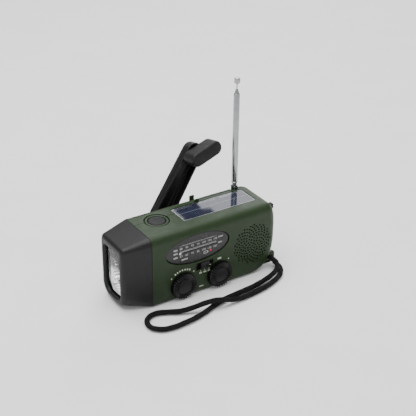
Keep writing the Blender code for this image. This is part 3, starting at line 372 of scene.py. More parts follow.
def make_materials(colours):
    """Every finish once, by a plain name."""
    MATERIALS.update({
        "case": plastic("case_green", tuple(colours.case), 0.46),
        "head": plastic("head_charcoal", tuple(colours.head), 0.42),
        "black": plastic("black_moulding", tuple(colours.black), 0.36, grain=3400.0),
        "grip": plastic("grip_black", tuple(colours.black), 0.50, grain=1900.0, depth=0.0001, strength=0.35),
        "rubber": plastic("soft_rubber", tuple(colours.rubber), 0.62, grain=4200.0, strength=0.35),
        "dial": plastic("dial_plate", tuple(colours.dial), 0.24, grain=900.0, strength=0.04),
        "white": plastic("white_moulding", (0.62, 0.62, 0.59), 0.45),
        "print": plastic("pale_print", (0.56, 0.57, 0.5), 0.55),
        "dial_print": plastic("dial_print", (0.42, 0.42, 0.41), 0.5),
        "red": glowing("red_lamp", (0.55, 0.02, 0.03), 0.3),
        "led": glowing("lamp_lens", (0.9, 0.88, 0.72), 0.15),
        "silver": metal("reflector_silver", (0.86, 0.86, 0.87), 0.10),
        "chrome": metal("bright_tube", (0.34, 0.35, 0.355), 0.2, (8, 8, 0.2)),
        "steel": metal("plain_steel", (0.48, 0.48, 0.49), 0.34, (4, 0.4, 4)),
        "copper": metal("winding", (0.62, 0.26, 0.12), 0.35, (12, 1, 1)),
        "ferrite": plastic("fired_ferrite", (0.03, 0.03, 0.032), 0.7),
        "sleeve": plastic("battery_sleeve", (0.02, 0.07, 0.28), 0.35),
        "paper": plastic("pressed_paper", (0.04, 0.036, 0.03), 0.85, grain=1400.0, strength=0.6),
        "clear": clear("clear_lens", (0.97, 0.98, 0.98)),
        "cell": cell_material("solar_cell", tuple(colours.cell)),
        "board": board_material("circuit_board"),
        "braid": braid_material("braided_yarn", tuple(colours.braid)),
        "floor": floor_material(),
    })


# ------------------------------------------------------------------ making
def place_object(name, mesh, finish, body, replaces=()):
    """Link a mesh in metres, give it its finish and let it ride on its body."""
    piece = bpy.data.objects.new(name, mesh)
    bpy.context.scene.collection.objects.link(piece)
    mesh.materials.clear()
    mesh.materials.append(MATERIALS[finish])
    mesh.shade_smooth()
    mesh.set_sharp_from_angle(angle=math.radians(38))
    if body:
        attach(piece, body)
    if replaces:
        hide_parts(*replaces)
    return piece


def place_skin(node, mesh, finish, body):
    """Place a mesh, or a bmesh in millimetres, as what is seen of one CAD node."""
    name = f"{node}_skin"
    if isinstance(mesh, bmesh.types.BMesh):
        mesh = to_mesh(name, mesh)
    return place_object(name, mesh, finish, body, (node,))


def to_mesh(name, bm):
    """A mesh in metres from a bmesh in millimetres."""
    bmesh.ops.scale(bm, vec=(MM, MM, MM), verts=bm.verts)
    bmesh.ops.recalc_face_normals(bm, faces=bm.faces)
    mesh = bpy.data.meshes.new(name)
    bm.to_mesh(mesh)
    bm.free()
    return mesh


def loft(rings, cap=True):
    """A skin over rings of equal point counts."""
    bm = bmesh.new()
    rows = [[bm.verts.new(point) for point in ring] for ring in rings]
    count = len(rows[0])
    for low, high in zip(rows, rows[1:]):
        for i in range(count):
            j = (i + 1) % count
            bm.faces.new((low[i], low[j], high[j], high[i]))
    if cap:
        bm.faces.new(rows[0])
        bm.faces.new(rows[-1])
    return bm


def lathe(profile, steps, matrix=None):
    """(radius, height) points turned about Z; points at radius 0 close the shape."""
    bm = bmesh.new()
    rows = []
    for radius, height in profile:
        if radius < 1e-6:
            rows.append([bm.verts.new((0, 0, height))])
        else:
            turns = [2 * math.pi * i / steps for i in range(steps)]
            rows.append([bm.verts.new((radius * math.cos(t), radius * math.sin(t), height)) for t in turns])
    for low, high in zip(rows, rows[1:]):
        for i in range(steps):
            j = (i + 1) % steps
            corners = [low[i % len(low)], low[j % len(low)], high[j % len(high)], high[i % len(high)]]
            unique = list(dict.fromkeys(corners))
            if len(unique) > 2:
                bm.faces.new(unique)
    if matrix:
        bm.transform(matrix)
    return bm


def add_box(bm, low, high):
    made = bmesh.ops.create_cube(bm, size=1.0)
    low, high = Vector(low), Vector(high)
    bmesh.ops.scale(bm, vec=high - low, verts=made["verts"])
    bmesh.ops.translate(bm, vec=(low + high) / 2, verts=made["verts"])
    return made["verts"]


def add_rod(bm, start, end, radius, sides=16, end_radius=None):
    start, end = Vector(start), Vector(end)
    axis = end - start
    made = bmesh.ops.create_cone(
        bm, cap_ends=True, segments=sides, radius1=radius,
        radius2=radius if end_radius is None else end_radius, depth=axis.length,
    )
    turn = Vector((0, 0, 1)).rotation_difference(axis).to_matrix()
    bmesh.ops.rotate(bm, matrix=turn, verts=made["verts"])
    bmesh.ops.translate(bm, vec=(start + end) / 2, verts=made["verts"])
    return made["verts"]


def scratch_object(data):
    piece = bpy.data.objects.new("scratch", data)
    bpy.context.scene.collection.objects.link(piece)
    return piece


def seen_mesh(piece):
    """The mesh of an object with its modifiers applied."""
    bpy.context.view_layer.update()
    seen = piece.evaluated_get(bpy.context.evaluated_depsgraph_get())
    return bpy.data.meshes.new_from_object(seen)


def carve(mesh, *steps):
    """Apply Booleans, given as (operation, bmesh), and return the new mesh."""
    base = scratch_object(mesh)
    scratch = [base]
    for operation, bm in steps:
        tool = scratch_object(to_mesh("scratch", bm))
        scratch.append(tool)
        modifier = base.modifiers.new(operation, "BOOLEAN")
        modifier.operation = operation
        modifier.object = tool
    result = seen_mesh(base)
    for piece in scratch:
        bpy.data.objects.remove(piece, do_unlink=True)
    return result


def soften(mesh, width, segments=3, angle=30):
    """Round the sharp edges of a mesh and return the new one."""
    base = scratch_object(mesh)
    modifier = base.modifiers.new("round", "BEVEL")
    modifier.width = width * MM
    modifier.segments = segments
    modifier.limit_method = "ANGLE"
    modifier.angle_limit = math.radians(angle)
    modifier.harden_normals = False
    result = seen_mesh(base)
    bpy.data.objects.remove(base, do_unlink=True)
    return result


def arc(middle, radius, start, end, steps):
    """Points on a circle between two angles in degrees."""
    turns = [math.radians(start + (end - start) * i / steps) for i in range(steps + 1)]
    return [(middle[0] + radius * math.cos(t), middle[1] + radius * math.sin(t)) for t in turns]


def around(middle, radius, degrees):
    """x and z at an angle round a point on the face."""
    t = math.radians(degrees)
    return middle.x + radius * math.cos(t), middle.z + radius * math.sin(t)


def oval(middle, half_wide, half_high, steps):
    """Points all round an ellipse."""
    turns = [2 * math.pi * i / steps for i in range(steps)]
    return [(middle[0] + half_wide * math.cos(t), middle[1] + half_high * math.sin(t)) for t in turns]


def prism(outline, low, high, matrix):
    """A flat outline of (x, y) points between two heights, placed by matrix."""
    bm = loft([[(x, y, low) for x, y in outline], [(x, y, high) for x, y in outline]])
    bm.transform(matrix)
    return bm


def facing_front(x, z):
    """Local X along +X, local Y up and local Z out of the dial face."""
    return at((x, FACE, z), 90, "X")


# ------------------------------------------------------------------ case
def case_ring(wall, turn, side, left, steps):
    """One section round the case: turn runs from 0 at its face to 90 where the sides are straight."""
    inward = 1 - math.sin(math.radians(turn))
    back_off = 1 - math.cos(math.radians(turn))

    def edge(share):
        radius = BASE_EDGE + (TOP_EDGE - BASE_EDGE) * share - wall
        return wall + radius * inward, side * (DEPTH / 2 - wall - radius * back_off)

    inset, y = edge(0.0)
    ring = [(left, y, inset)]
    for i in range(steps + 1):
        t = math.radians(-90 + 90 * i / steps)
        across = abs(math.cos(t)) ** (2 / LOW_POWER) if i else 0.0
        up = abs(math.sin(t)) ** (2 / LOW_POWER) if i < steps else 0.0
        inset, y = edge(i / steps)
        ring.append((RIGHT - END_LOW + (END_LOW - inset) * across, y, END_MIDDLE - (END_MIDDLE - inset) * up))
    inset, y = edge(1.0)
    for i in range(1, steps + 1):
        t = math.radians(90 * i / steps)
        across = math.cos(t) ** (2 / HIGH_POWER) if i < steps else 0.0
        up = math.sin(t) ** (2 / HIGH_POWER)
        z = END_MIDDLE + (TOP - inset - END_MIDDLE) * up
        ring.append((RIGHT - END_HIGH + (END_HIGH - inset) * across, y, z))
    ring.append((left, y, TOP - inset))
    return ring


def case_solid(wall, left, sizes):
    turns = [90 * i / sizes.edge_steps for i in range(sizes.edge_steps + 1)]
    rings = [case_ring(wall, turn, -1, left, sizes.end_steps) for turn in turns]
    rings += [case_ring(wall, turn, 1, left, sizes.end_steps) for turn in reversed(turns)]
    return loft(rings)


def block(low, high):
    bm = bmesh.new()
    add_box(bm, low, high)
    return bm


def bar(start, end, radius, sides=48):
    bm = bmesh.new()
    add_rod(bm, start, end, radius, sides)
    return bm


def rounded_block(low, high, radius):
    bm = block(low, high)
    bmesh.ops.bevel(bm, geom=bm.edges[:], offset=radius, segments=4, profile=0.5, affect="EDGES")
    return bm


def cut(bm):
    return "DIFFERENCE", bm


def join(bm):
    return "UNION", bm


def drill(place, start, end, radius, sides=48):
    """A hole through the face or the back at place, from one y to another."""
    return cut(bar((place.x, start, place.z), (place.x, end, place.z), radius, sides))


def shared_holes():
    """Openings that cross from the front shell to the rear one."""
    ring = span("button_bezel")
    reach = (ring[1].x - ring[0].x) / 2 + 2 * GAP
    panel_low = (PANEL_LOW.x - GAP, PANEL_LOW.y - GAP, TOP - 3)
    panel_high = (PANEL_HIGH.x + GAP, PANEL_HIGH.y + GAP, TOP + 1)
    return [
        cut(bar((BUTTON.x, BUTTON.y, TOP - 3), (BUTTON.x, BUTTON.y, TOP + 1), reach, 64)),
        cut(block(panel_low, panel_high)),
        cut(block((RIGHT - 15, PORT.y - 5.5, PORT.z - 4.5), (RIGHT + 2, PORT.y + 5.5, PORT.z + 4.5))),
    ]


def grille_holes(sizes):
    """Small round holes that spiral out from the speaker's middle like sunflower seeds."""
    bm = bmesh.new()
    reach = SPEAKER.x - span("speaker_basket")[0].x - 0.4
    golden = 180 * (3 - math.sqrt(5))
    share = sizes.hole_pitch / 1.9
    for i in range(int((reach / share) ** 2)):
        x, z = around(SPEAKER, share * math.sqrt(i + 0.5), golden * i)
        add_rod(bm, (x, FACE - 1, z), (x, FACE + 2 * WALL, z), sizes.hole_radius, 10)
    return bm


class RADIO_OT_front_case(Operator):
    """Make the front shell with its dial opening, knob wells, switch slot and grille"""

    bl_idname = "radio.front_case"
    bl_label = "Front case"

    def execute(self, context):
        sizes = context.scene.radio_sizes
        body = to_mesh("front_case_skin", case_solid(0.0, SEAM, sizes))
        half = (DIAL_HIGH - DIAL_LOW) / 2
        dial_hole = oval((0, 0), half.x + GAP, half.z + GAP, 96)
        slot_low = (SWITCH.x - SLOT_HALF_WIDE, FACE - 1, SWITCH.z - SLOT_HALF_HIGH)
        slot_high = (SWITCH.x + SLOT_HALF_WIDE, FACE + 4, SWITCH.z + SLOT_HALF_HIGH)
        steps = [
            ("INTERSECT", block((-FAR, -FAR, -FAR), (FAR, PARTING, FAR))),
            cut(case_solid(WALL, SEAM - 4, sizes)),
            *shared_holes(),
            cut(prism(dial_hole, -8, 3, facing_front(DIAL.x, DIAL.z))),
            cut(grille_holes(sizes)),
            cut(block(slot_low, slot_high)),
        ]
        for knob in (TUNING, VOLUME):
            steps.append(drill(knob, FACE - 1, FACE + 1, KNOB_WELL, 64))
            steps.append(drill(knob, FACE - 1, FACE + 4, SHAFT_HOLE))
        lug = span("front_case")[1]
        eye = Vector((lug.x - LUG_EYE.x, LUG_EYE.y, LUG_EYE.z))
        steps.append(join(rounded_block((eye.x - 9.2, eye.y - 2.2, 2.4), (lug.x, eye.y + 2.2, 11.6), 1.6)))
        steps.append(drill(eye, eye.y - 5, eye.y + 5, LUG_HOLE, 24))
        mesh = carve(body, *steps)
        place_skin("front_case", mesh, "case", "case")
        return {"FINISHED"}


class RADIO_OT_rear_case(Operator):
    """Make the rear shell with its antenna groove and clip, hub hole, grip pocket and screw wells"""

    bl_idname = "radio.rear_case"
    bl_label = "Rear case"

    def execute(self, context):
        sizes = context.scene.radio_sizes
        body = to_mesh("rear_case_skin", case_solid(0.0, SEAM, sizes))
        low = POCKET_LOW - Vector((0.6, 0.7, 0.7))
        high = Vector((POCKET_HIGH.x + 2.2, BACK + 5, POCKET_HIGH.z + 0.7))
        wall = Vector((1.4, 1.4, 1.4))
        hollow = carve(
            to_mesh("hollow", case_solid(WALL, SEAM - 4, sizes)),
            cut(block(low - wall, (RIGHT + 4, BACK + 5, high.z + wall.z))),
        )
        inside = bmesh.new()
        inside.from_mesh(hollow)
        bmesh.ops.scale(inside, vec=(1 / MM, 1 / MM, 1 / MM), verts=inside.verts)
        swivel = centre("mast_swivel")
        groove = ((SEAM + 4.5, swivel.y, MAST_PIVOT_Z), (RIGHT + 5, swivel.y, MAST_PIVOT_Z))
        well = ((swivel.x, swivel.y, MAST_PIVOT_Z - 6), (swivel.x, swivel.y, MAST_PIVOT_Z + 3))
        steps = [
            ("INTERSECT", block((-FAR, PARTING + GAP, -FAR), (FAR, FAR, FAR))),
            cut(inside),
            *shared_holes(),
            cut(rounded_block(low, high, 1.2)),
            drill(HUB, BACK - 4, BACK + 3, HUB_HOLE, 64),
            cut(bar(*groove, GROOVE_RADIUS, 32)),
            cut(bar(*well, FOOT_HOLE, 32)),
        ]
        for number in range(1, 5):
            screw = centre(f"case_screw_{number}")
            steps.append(drill(screw, BACK - 1.3, BACK + 1, SCREW_HEAD_HOLE, 32))
            steps.append(drill(screw, BACK - 4, BACK + 1, SCREW_SHANK_HOLE, 16))
        crest = span("rear_case")[1].z
        for side in (-1, 1):
            y = swivel.y + side * CLIP_HALF_GAP
            foot = TOP - 1.5 if side < 0 else TOP - 5.3
            steps.append(join(rounded_block((CLIP_LEFT, y - 0.6, foot), (CLIP_RIGHT, y + 0.6, crest), 0.35)))
        mesh = carve(body, *steps)
        place_skin("rear_case", mesh, "case", "case")
        return {"FINISHED"}


# ------------------------------------------------------------------ torch head
def rounded_ring(x, half, low, high, low_radius, high_radius, steps=8):
    flat = arc((half - low_radius, low + low_radius), low_radius, -90, 0, steps)
    flat += arc((half - high_radius, high - high_radius), high_radius, 0, 90, steps)
    flat += arc((-half + high_radius, high - high_radius), high_radius, 90, 180, steps)
    flat += arc((-half + low_radius, low + low_radius), low_radius, 180, 270, steps)
    return [(x, y, z) for y, z in flat]


def window_ring(x, grow):
    """The torch window across the radio, a little larger than the lens, or grown further."""
    half = (LENS_HIGH.y - LENS_LOW.y) / 2 + GAP + grow
    low, high = LENS_LOW.z - GAP - grow, LENS_HIGH.z + GAP + grow
    return rounded_ring(x, half, low, high, WINDOW_LOW_RADIUS, WINDOW_HIGH_RADIUS, 10)


def window_loft(stations):
    return loft([window_ring(x, grow) for x, grow in stations])


def head_ring(x, wall, fall=0.0):
    """One section of the head: from the seam it narrows to the rim, whose rounding fall takes in."""
    top = TOP - HEAD_FALL
    share = min(1.0, (x - RIM - HEAD_ROUND) / (HEAD_SEAM - RIM - HEAD_ROUND))
    if share < 0:
        return rounded_ring(
            x, HEAD_HALF - fall - wall, HEAD_RISE + fall + wall, top - fall - wall,
            HEAD_LOW_RADIUS - 0.85 * fall - wall, max(1.2, HEAD_HIGH_RADIUS - 0.3 * fall - wall / 2),
        )

    def blend(rim, seam):
        return rim + (seam - rim) * share

    return rounded_ring(
        x, blend(HEAD_HALF, DEPTH / 2) - wall, blend(HEAD_RISE, 0) + wall, blend(top, TOP) - wall,
        blend(HEAD_LOW_RADIUS, BASE_EDGE) - wall, blend(HEAD_HIGH_RADIUS, TOP_EDGE) - wall,
    )


class RADIO_OT_torch_head(Operator):
    """Make the torch head, its clear lens, the reflector with three cups and the lamps"""

    bl_idname = "radio.torch_head"
    bl_label = "Torch head"

    def execute(self, context):
        slope = HEAD_SEAM - RIM - HEAD_ROUND
        rings = [head_ring(HEAD_SEAM - i * slope / 6, 0.0) for i in range(7)]
        for i in range(1, 9):
            t = math.radians(90 * i / 8)
            x = RIM + HEAD_ROUND * (1 - math.sin(t)) - 1e-4
            rings.append(head_ring(x, 0.0, HEAD_ROUND * (1 - math.cos(t))))
        inner = [
            head_ring(HEAD_SEAM + 3, HEAD_WALL), head_ring(RIM + HEAD_ROUND + 2, HEAD_WALL),
            head_ring(RIM + 2.6, HEAD_WALL, 3.2),
        ]
        window = window_loft([(RIM - 1, 1.6), (RIM + 1.2, 0.2), (RIM + 2.0, 0.0), (RIM + 7, 0.0)])
        mesh = carve(to_mesh("head_skin", loft(rings)), cut(loft(inner)), cut(window))
        place_object("head_skin", mesh, "head", "case", ("head_shell",))
        self.lens()
        self.reflector()
        return {"FINISHED"}

    def lens(self):
        front = LENS_LOW.x
        stations = [(front, -1.2), (front + 0.25, -0.6), (front + 0.6, -GAP), (LENS_HIGH.x, -GAP)]
        place_skin("torch_lens", window_loft(stations), "clear", "case")

    def reflector(self):
        low, high = span("reflector")
        body = to_mesh("reflector_skin", window_loft([(low.x, -GAP), (high.x, -GAP)]))
        steps = []
        for number in range(1, 4):
            middle = centre(f"led_{number}")
            profile = [(0.0, -1.0), (CUP_MOUTH + 0.1, -1.0)]
            for i in range(9):
                radius = CUP_THROAT + (CUP_MOUTH - CUP_THROAT) * math.sqrt(1 - i / 8)
                profile.append((radius, CUP_DEPTH * i / 8))
            profile += [(CUP_THROAT, 9.0), (0.0, 9.0)]
            steps.append(cut(lathe(profile, 48, at((low.x, middle.y, middle.z), 90, "Y"))))
        place_skin("reflector", carve(body, *steps), "silver", "case")
        for number in range(1, 4):
            led_low, led_high = span(f"led_{number}")
            middle = (led_low + led_high) / 2
            dome = led_high.x - led_low.x - LED_RADIUS
            profile = [(0.0, 0.0), (LED_RADIUS, 0.0), (LED_RADIUS, dome)]
            profile += arc((0, dome), LED_RADIUS, 15, 75, 4)
            profile.append((0.0, dome + LED_RADIUS))
            bm = lathe(profile, 24, at((led_high.x, middle.y, middle.z), -90, "Y"))
            place_skin(f"led_{number}", bm, "led", "case")


# ------------------------------------------------------------------ dial face
def add_mark(bm, x, z, wide, high, y, angle=0.0, thick=0.06):
    """A thin printed bar on the face."""
    verts = add_box(bm, (-wide / 2, -thick / 2, -high / 2), (wide / 2, thick / 2, high / 2))
    bmesh.ops.rotate(bm, matrix=Matrix.Rotation(math.radians(angle), 3, "Y"), verts=verts)
    bmesh.ops.translate(bm, vec=(x, y, z), verts=verts)


def add_number(bm, text, x, z, size, y):
    """A number of the dial's scale."""
    curve = bpy.data.curves.new("number", "FONT")
    curve.body = text
    curve.size = size
    curve.align_x = "CENTER"
    curve.align_y = "CENTER"
    curve.extrude = 0.03
    curve.resolution_u = 2
    scratch = scratch_object(curve)
    mesh = seen_mesh(scratch)
    mesh.transform(at((x, y, z), 90, "X"))
    bm.from_mesh(mesh)
    bpy.data.objects.remove(scratch, do_unlink=True)
    bpy.data.meshes.remove(mesh)


class RADIO_OT_dial(Operator):
    """Make the oval dial window, its scales, the pointer, the charge lamp and the battery sign"""

    bl_idname = "radio.dial"
    bl_label = "Dial"

    def execute(self, context):
        low, high = DIAL_LOW, DIAL_HIGH
        half = (high - low) / 2
        rings = []
        for deep, inset in ((high.y - low.y, 0.0), (0.45, 0.0), (0.2, 0.12), (0.06, 0.4), (0.0, 0.9)):
            outline = oval((DIAL.x, DIAL.z), half.x - inset, half.z - inset, 96)
            rings.append([(x, low.y + deep, z) for x, z in outline])
        slot_low, slot_high = span("dial_pointer")
        track_z = DIAL.z - 0.8
        travel = joint("pointer_slide")["range_m"][1] / MM
        start = (slot_low.x + slot_high.x) / 2
        outline = arc((start + travel, 0), 0.35, -90, 90, 6) + arc((start, 0), 0.35, 90, 270, 6)
        slot = prism(outline, -6, 2, facing_front(0, track_z))
        mesh = carve(to_mesh("dial_window_skin", loft(rings)), cut(slot))
        place_skin("dial_window", mesh, "dial", "case")
        self.scales(low.y - 0.02, start, travel, track_z)
        self.pointer(start, track_z, low.y, slot_high.y)
        return {"FINISHED"}

    def scales(self, y, left, travel, track_z):
        bm = bmesh.new()
        right = left + travel
        for i in range(49):
            x = left + travel * i / 48
            add_mark(bm, x, track_z + 1.15, 0.2, 1.2 if i % 6 else 1.5, y)
        for i in range(25):
            add_mark(bm, left + travel * i / 24, track_z + 5.7, 0.2, 0.6, y)
        add_mark(bm, (left + right) / 2, track_z + 0.5, travel, 0.16, y)
        add_mark(bm, (left + right) / 2, track_z + 6.1, travel * 0.9, 0.14, y)
        for row, numbers in ((3.6, (88, 90, 93, 96, 100, 104, 108)), (-2.5, (53, 60, 70, 85, 100, 130, 160))):
            for i, number in enumerate(numbers):
                add_number(bm, str(number), left + 0.8 + (travel - 1.5) * i / 6, track_z + row, 2.3, y)
        for row in (3.6, 0.8, -2.5):
            for k in range(3):
                add_mark(bm, left - 4.9 + k * 1.15, track_z + row, 0.8, 1.25, y)
        for row, wide in ((4.2, 5), (-0.4, 4)):
            for k in range(wide):
                add_mark(bm, right + 2.2 + k * 0.85, track_z + row, 0.55, 1.15, y)
        for k in range(5):
            add_mark(bm, left + 1.6 + k * 1.05, track_z - 5.6, 0.7, 1.2, y)
        place_object("dial_scales", to_mesh("dial_scales", bm), "dial_print", "case")
        sign = bmesh.new()
        x, z = DIAL.x + 6.8, track_z - 5.2
        for way in (1, -1):
            add_mark(sign, x, z + 0.85 * way, 3.2, 0.3, y)
        for way in (-1, 1):
            add_mark(sign, x + 1.5 * way, z, 0.3, 2.0, y)
        add_mark(sign, x + 1.95, z, 0.5, 0.8, y)
        place_object("battery_sign", to_mesh("battery_sign", sign), "print", "case")
        profile = [(0.0, 0.0), (0.75, 0.0), (0.72, 0.14), (0.5, 0.3), (0.0, 0.36)]
        lamp = lathe(profile, 20, at((x + 4.2, y + 0.05, z + 0.5), 90, "X"))
        place_object("charge_lamp", to_mesh("charge_lamp", lamp), "red", "case")

    def pointer(self, x, z, front, back):
        """A thin stem with a round head in front of the dial and a carriage behind it."""
        profile = [
            (0.0, 1.2 - back), (0.25, 1.2 - back), (0.25, 0.08 - front), (0.9, 0.08 - front),
            (0.9, 0.22 - front), (0.7, 0.34 - front), (0.0, 0.38 - front),
        ]
        bm = lathe(profile, 24, at((x, 0, z), 90, "X"))
        add_box(bm, (x - 2.5, back - 1.2, z - 4), (x + 2.5, back, z + 4))
        place_skin("dial_pointer", bm, "white", "dial_pointer")


class RADIO_OT_front_marks(Operator):
    """Print plain marks round the knobs and the switch"""

    bl_idname = "radio.front_marks"
    bl_label = "Front marks"

    def execute(self, context):
        bm = bmesh.new()
        y = FACE - 0.02
        reach = 12.6
        for i in range(11):
            angle = 140 - 9.5 * i
            x, z = around(TUNING, reach, angle)
            if i in (0, 10):
                add_mark(bm, x, z, 0.9, 0.9, y, 45)
            elif 1 < i < 9:
                add_mark(bm, x, z, 0.9, 1.25, y, 90 - angle)
        signs = {
            128: [(0, 1.3, 0.35)],
            90: [(k, 0.75, 1.4) for k in (-1.1, 0, 1.1)],
            52: [(0, 1.3, 0.35), (0, 0.35, 1.3)],
        }
        for angle, bars in signs.items():
            x, z = around(VOLUME, reach + 0.2, angle)
            for across, wide, high in bars:
                add_mark(bm, x + across, z, wide, high, y)
        for k in (-3.6, 0.0, 3.6):
            add_mark(bm, SWITCH.x + k, SWITCH.z - 4.0, 0.35, 0.9, y)
            for part in (-0.7, 0.1, 0.9):
                add_mark(bm, SWITCH.x + k + part, SWITCH.z - 5.7, 0.5, 1.1, y)
        for k in range(4):
            add_mark(bm, (TUNING.x + VOLUME.x) / 2 + k * 0.95 - 1.4, 5.0, 0.6, 1.0, y)
        place_object("front_marks", to_mesh("front_marks", bm), "print", "case")
        return {"FINISHED"}


class RADIO_OT_knobs(Operator):
    """Make both ribbed thumb knobs and the band switch"""

    bl_idname = "radio.knobs"
    bl_label = "Knobs"

    def execute(self, context):
        sizes = context.scene.radio_sizes
        for node in ("tuning_knob", "volume_knob"):
            self.knob(node, sizes)
        self.switch()
        return {"FINISHED"}

    def knob(self, node, sizes):
        low, high = span(node)
        radius = (high.x - low.x) / 2
        middle = (low + high) / 2
        count = sizes.knob_ribs * 6

        def ring(y, inset, depth, lift=0.0):
            points = []
            for i in range(count):
                t = 2 * math.pi * i / count
                rib = (0.5 + 0.5 * math.cos(sizes.knob_ribs * t)) ** 0.7
                r = radius - inset - depth * (1 - rib)
                points.append((middle.x + r * math.cos(t), y + lift * (1 - rib), middle.z + r * math.sin(t)))
            return points

        front = low.y
        rings = [
            ring(FACE + 0.7, 0.4, 0.8), ring(FACE + 0.3, 0.0, 0.8), ring(front + 0.9, 0.0, 0.8, 0.1),
            ring(front + 0.4, 0.12, 0.8, 0.6), ring(front + 0.1, 0.45, 0.6, 0.8), ring(front, 1.0, 0.3, 0.9),
            ring(front + 0.02, 3.2, 0.0, 0.9), ring(front + 0.1, 3.7, 0.0, 0.3), ring(front + 0.9, 3.85, 0.0),
            ring(front + 0.95, 4.3, 0.0), ring(front + 0.35, 4.4, 0.0), ring(front + 0.25, 4.8, 0.0),
            ring(front + 0.2, radius - 0.6, 0.0),
        ]
        bm = loft(rings)
        for turn in range(3):
            for k in range(6 * (turn + 1)):
                x, z = around(middle, 1.6 * (turn + 1), 60 * k / (turn + 1))
                add_rod(bm, (x, front + 0.6, z), (x, front + 0.05, z), 0.42, 8, 0.25)
        add_rod(bm, (middle.x, FACE + 0.5, middle.z), (middle.x, high.y, middle.z), 3.0, 32)
        place_skin(node, bm, "black", node)

    def switch(self):
        low, high = span("band_switch")
        bm = block((low.x, low.y, low.z), (high.x, FACE + 2.2, high.z))
        for i in range(4):
            x = low.x + 1.4 + i * (high.x - low.x - 2.8) / 3
            add_box(bm, (x - 0.35, low.y - 0.25, low.z + 0.5), (x + 0.35, low.y + 0.3, high.z - 0.5))
        middle = (low + high) / 2
        add_box(bm, (middle.x - 1, FACE + 1.6, middle.z - 1), (middle.x + 1, high.y, middle.z + 1))
        mesh = soften(to_mesh("band_switch_skin", bm), 0.18, 2)
        place_skin("band_switch", mesh, "black", "band_switch")
        floor = Vector((SWITCH.x, FACE + 2.65, SWITCH.z))
        half = Vector((SLOT_HALF_WIDE - 0.2, 0.25, SLOT_HALF_HIGH - 0.2))
        tray = block(floor - half, floor + half)
        place_object("switch_floor", to_mesh("switch_floor", tray), "black", "case")


# ------------------------------------------------------------------ top face
class RADIO_OT_top(Operator):
    """Make the torch button with its ring and the solar window with its frame"""

    bl_idname = "radio.top"
    bl_label = "Top"

    def execute(self, context):
        low, high = span("torch_button")
        reach = (high.x - low.x) / 2
        place = at((BUTTON.x, BUTTON.y, 0))
        profile = [(0.0, low.z), (1.5, low.z), (1.5, low.z + 1.6), (reach, low.z + 1.8), (reach, TOP - 0.9)]
        for i in range(1, 8):
            t = math.radians(90 * i / 7)
            profile.append((reach - 0.9 + 0.9 * math.cos(t), TOP - 0.9 + 0.8 * math.sin(t)))
        profile += [(reach - 2.2, TOP - 0.12), (reach - 3.4, TOP - 0.25), (0.0, TOP - 0.42)]
        place_skin("torch_button", lathe(profile, 64, place), "rubber", "torch_button")
        low, high = span("button_bezel")
        outer = (high.x - low.x) / 2
        inner = reach + GAP
        profile = [
            (inner, low.z), (outer, low.z), (outer, TOP - 0.5), (outer - 0.15, TOP - 0.2),
            (outer - 0.5, TOP - 0.02), (inner + 0.5, TOP - 0.02), (inner + 0.15, TOP - 0.25),
            (inner, TOP - 0.5), (inner, low.z),
        ]
        place_skin("button_bezel", lathe(profile, 64, place), "case", "case")
        self.panel()
        return {"FINISHED"}

    def panel(self):
        """A dark window with a thin silver border and bus strips along its back edge."""
        low, high = PANEL_LOW, PANEL_HIGH
        mesh = soften(to_mesh("solar_skin", block(low, high)), 0.15, 1)
        place_skin("solar_window", mesh, "cell", "case")
        bm = bmesh.new()
        z = high.z
        for y in (low.y + 0.35, high.y - 0.35):
            add_box(bm, (low.x + 0.2, y - 0.1, z - 0.1), (high.x - 0.2, y + 0.1, z + 0.03))
        for x in (low.x + 0.35, high.x - 0.35):
            add_box(bm, (x - 0.1, low.y + 0.2, z - 0.1), (x + 0.1, high.y - 0.2, z + 0.03))
        pitch = (high.x - low.x - 2) / 3
        for i in range(3):
            start = low.x + 1.2 + i * pitch
            end = start + pitch - 4
            for y in (high.y - 1.5, high.y - 2.7):
                add_box(bm, (start, y - 0.1, z - 0.1), (end, y + 0.1, z + 0.03))
        place_object("solar_lines", to_mesh("solar_lines", bm), "steel", "case")


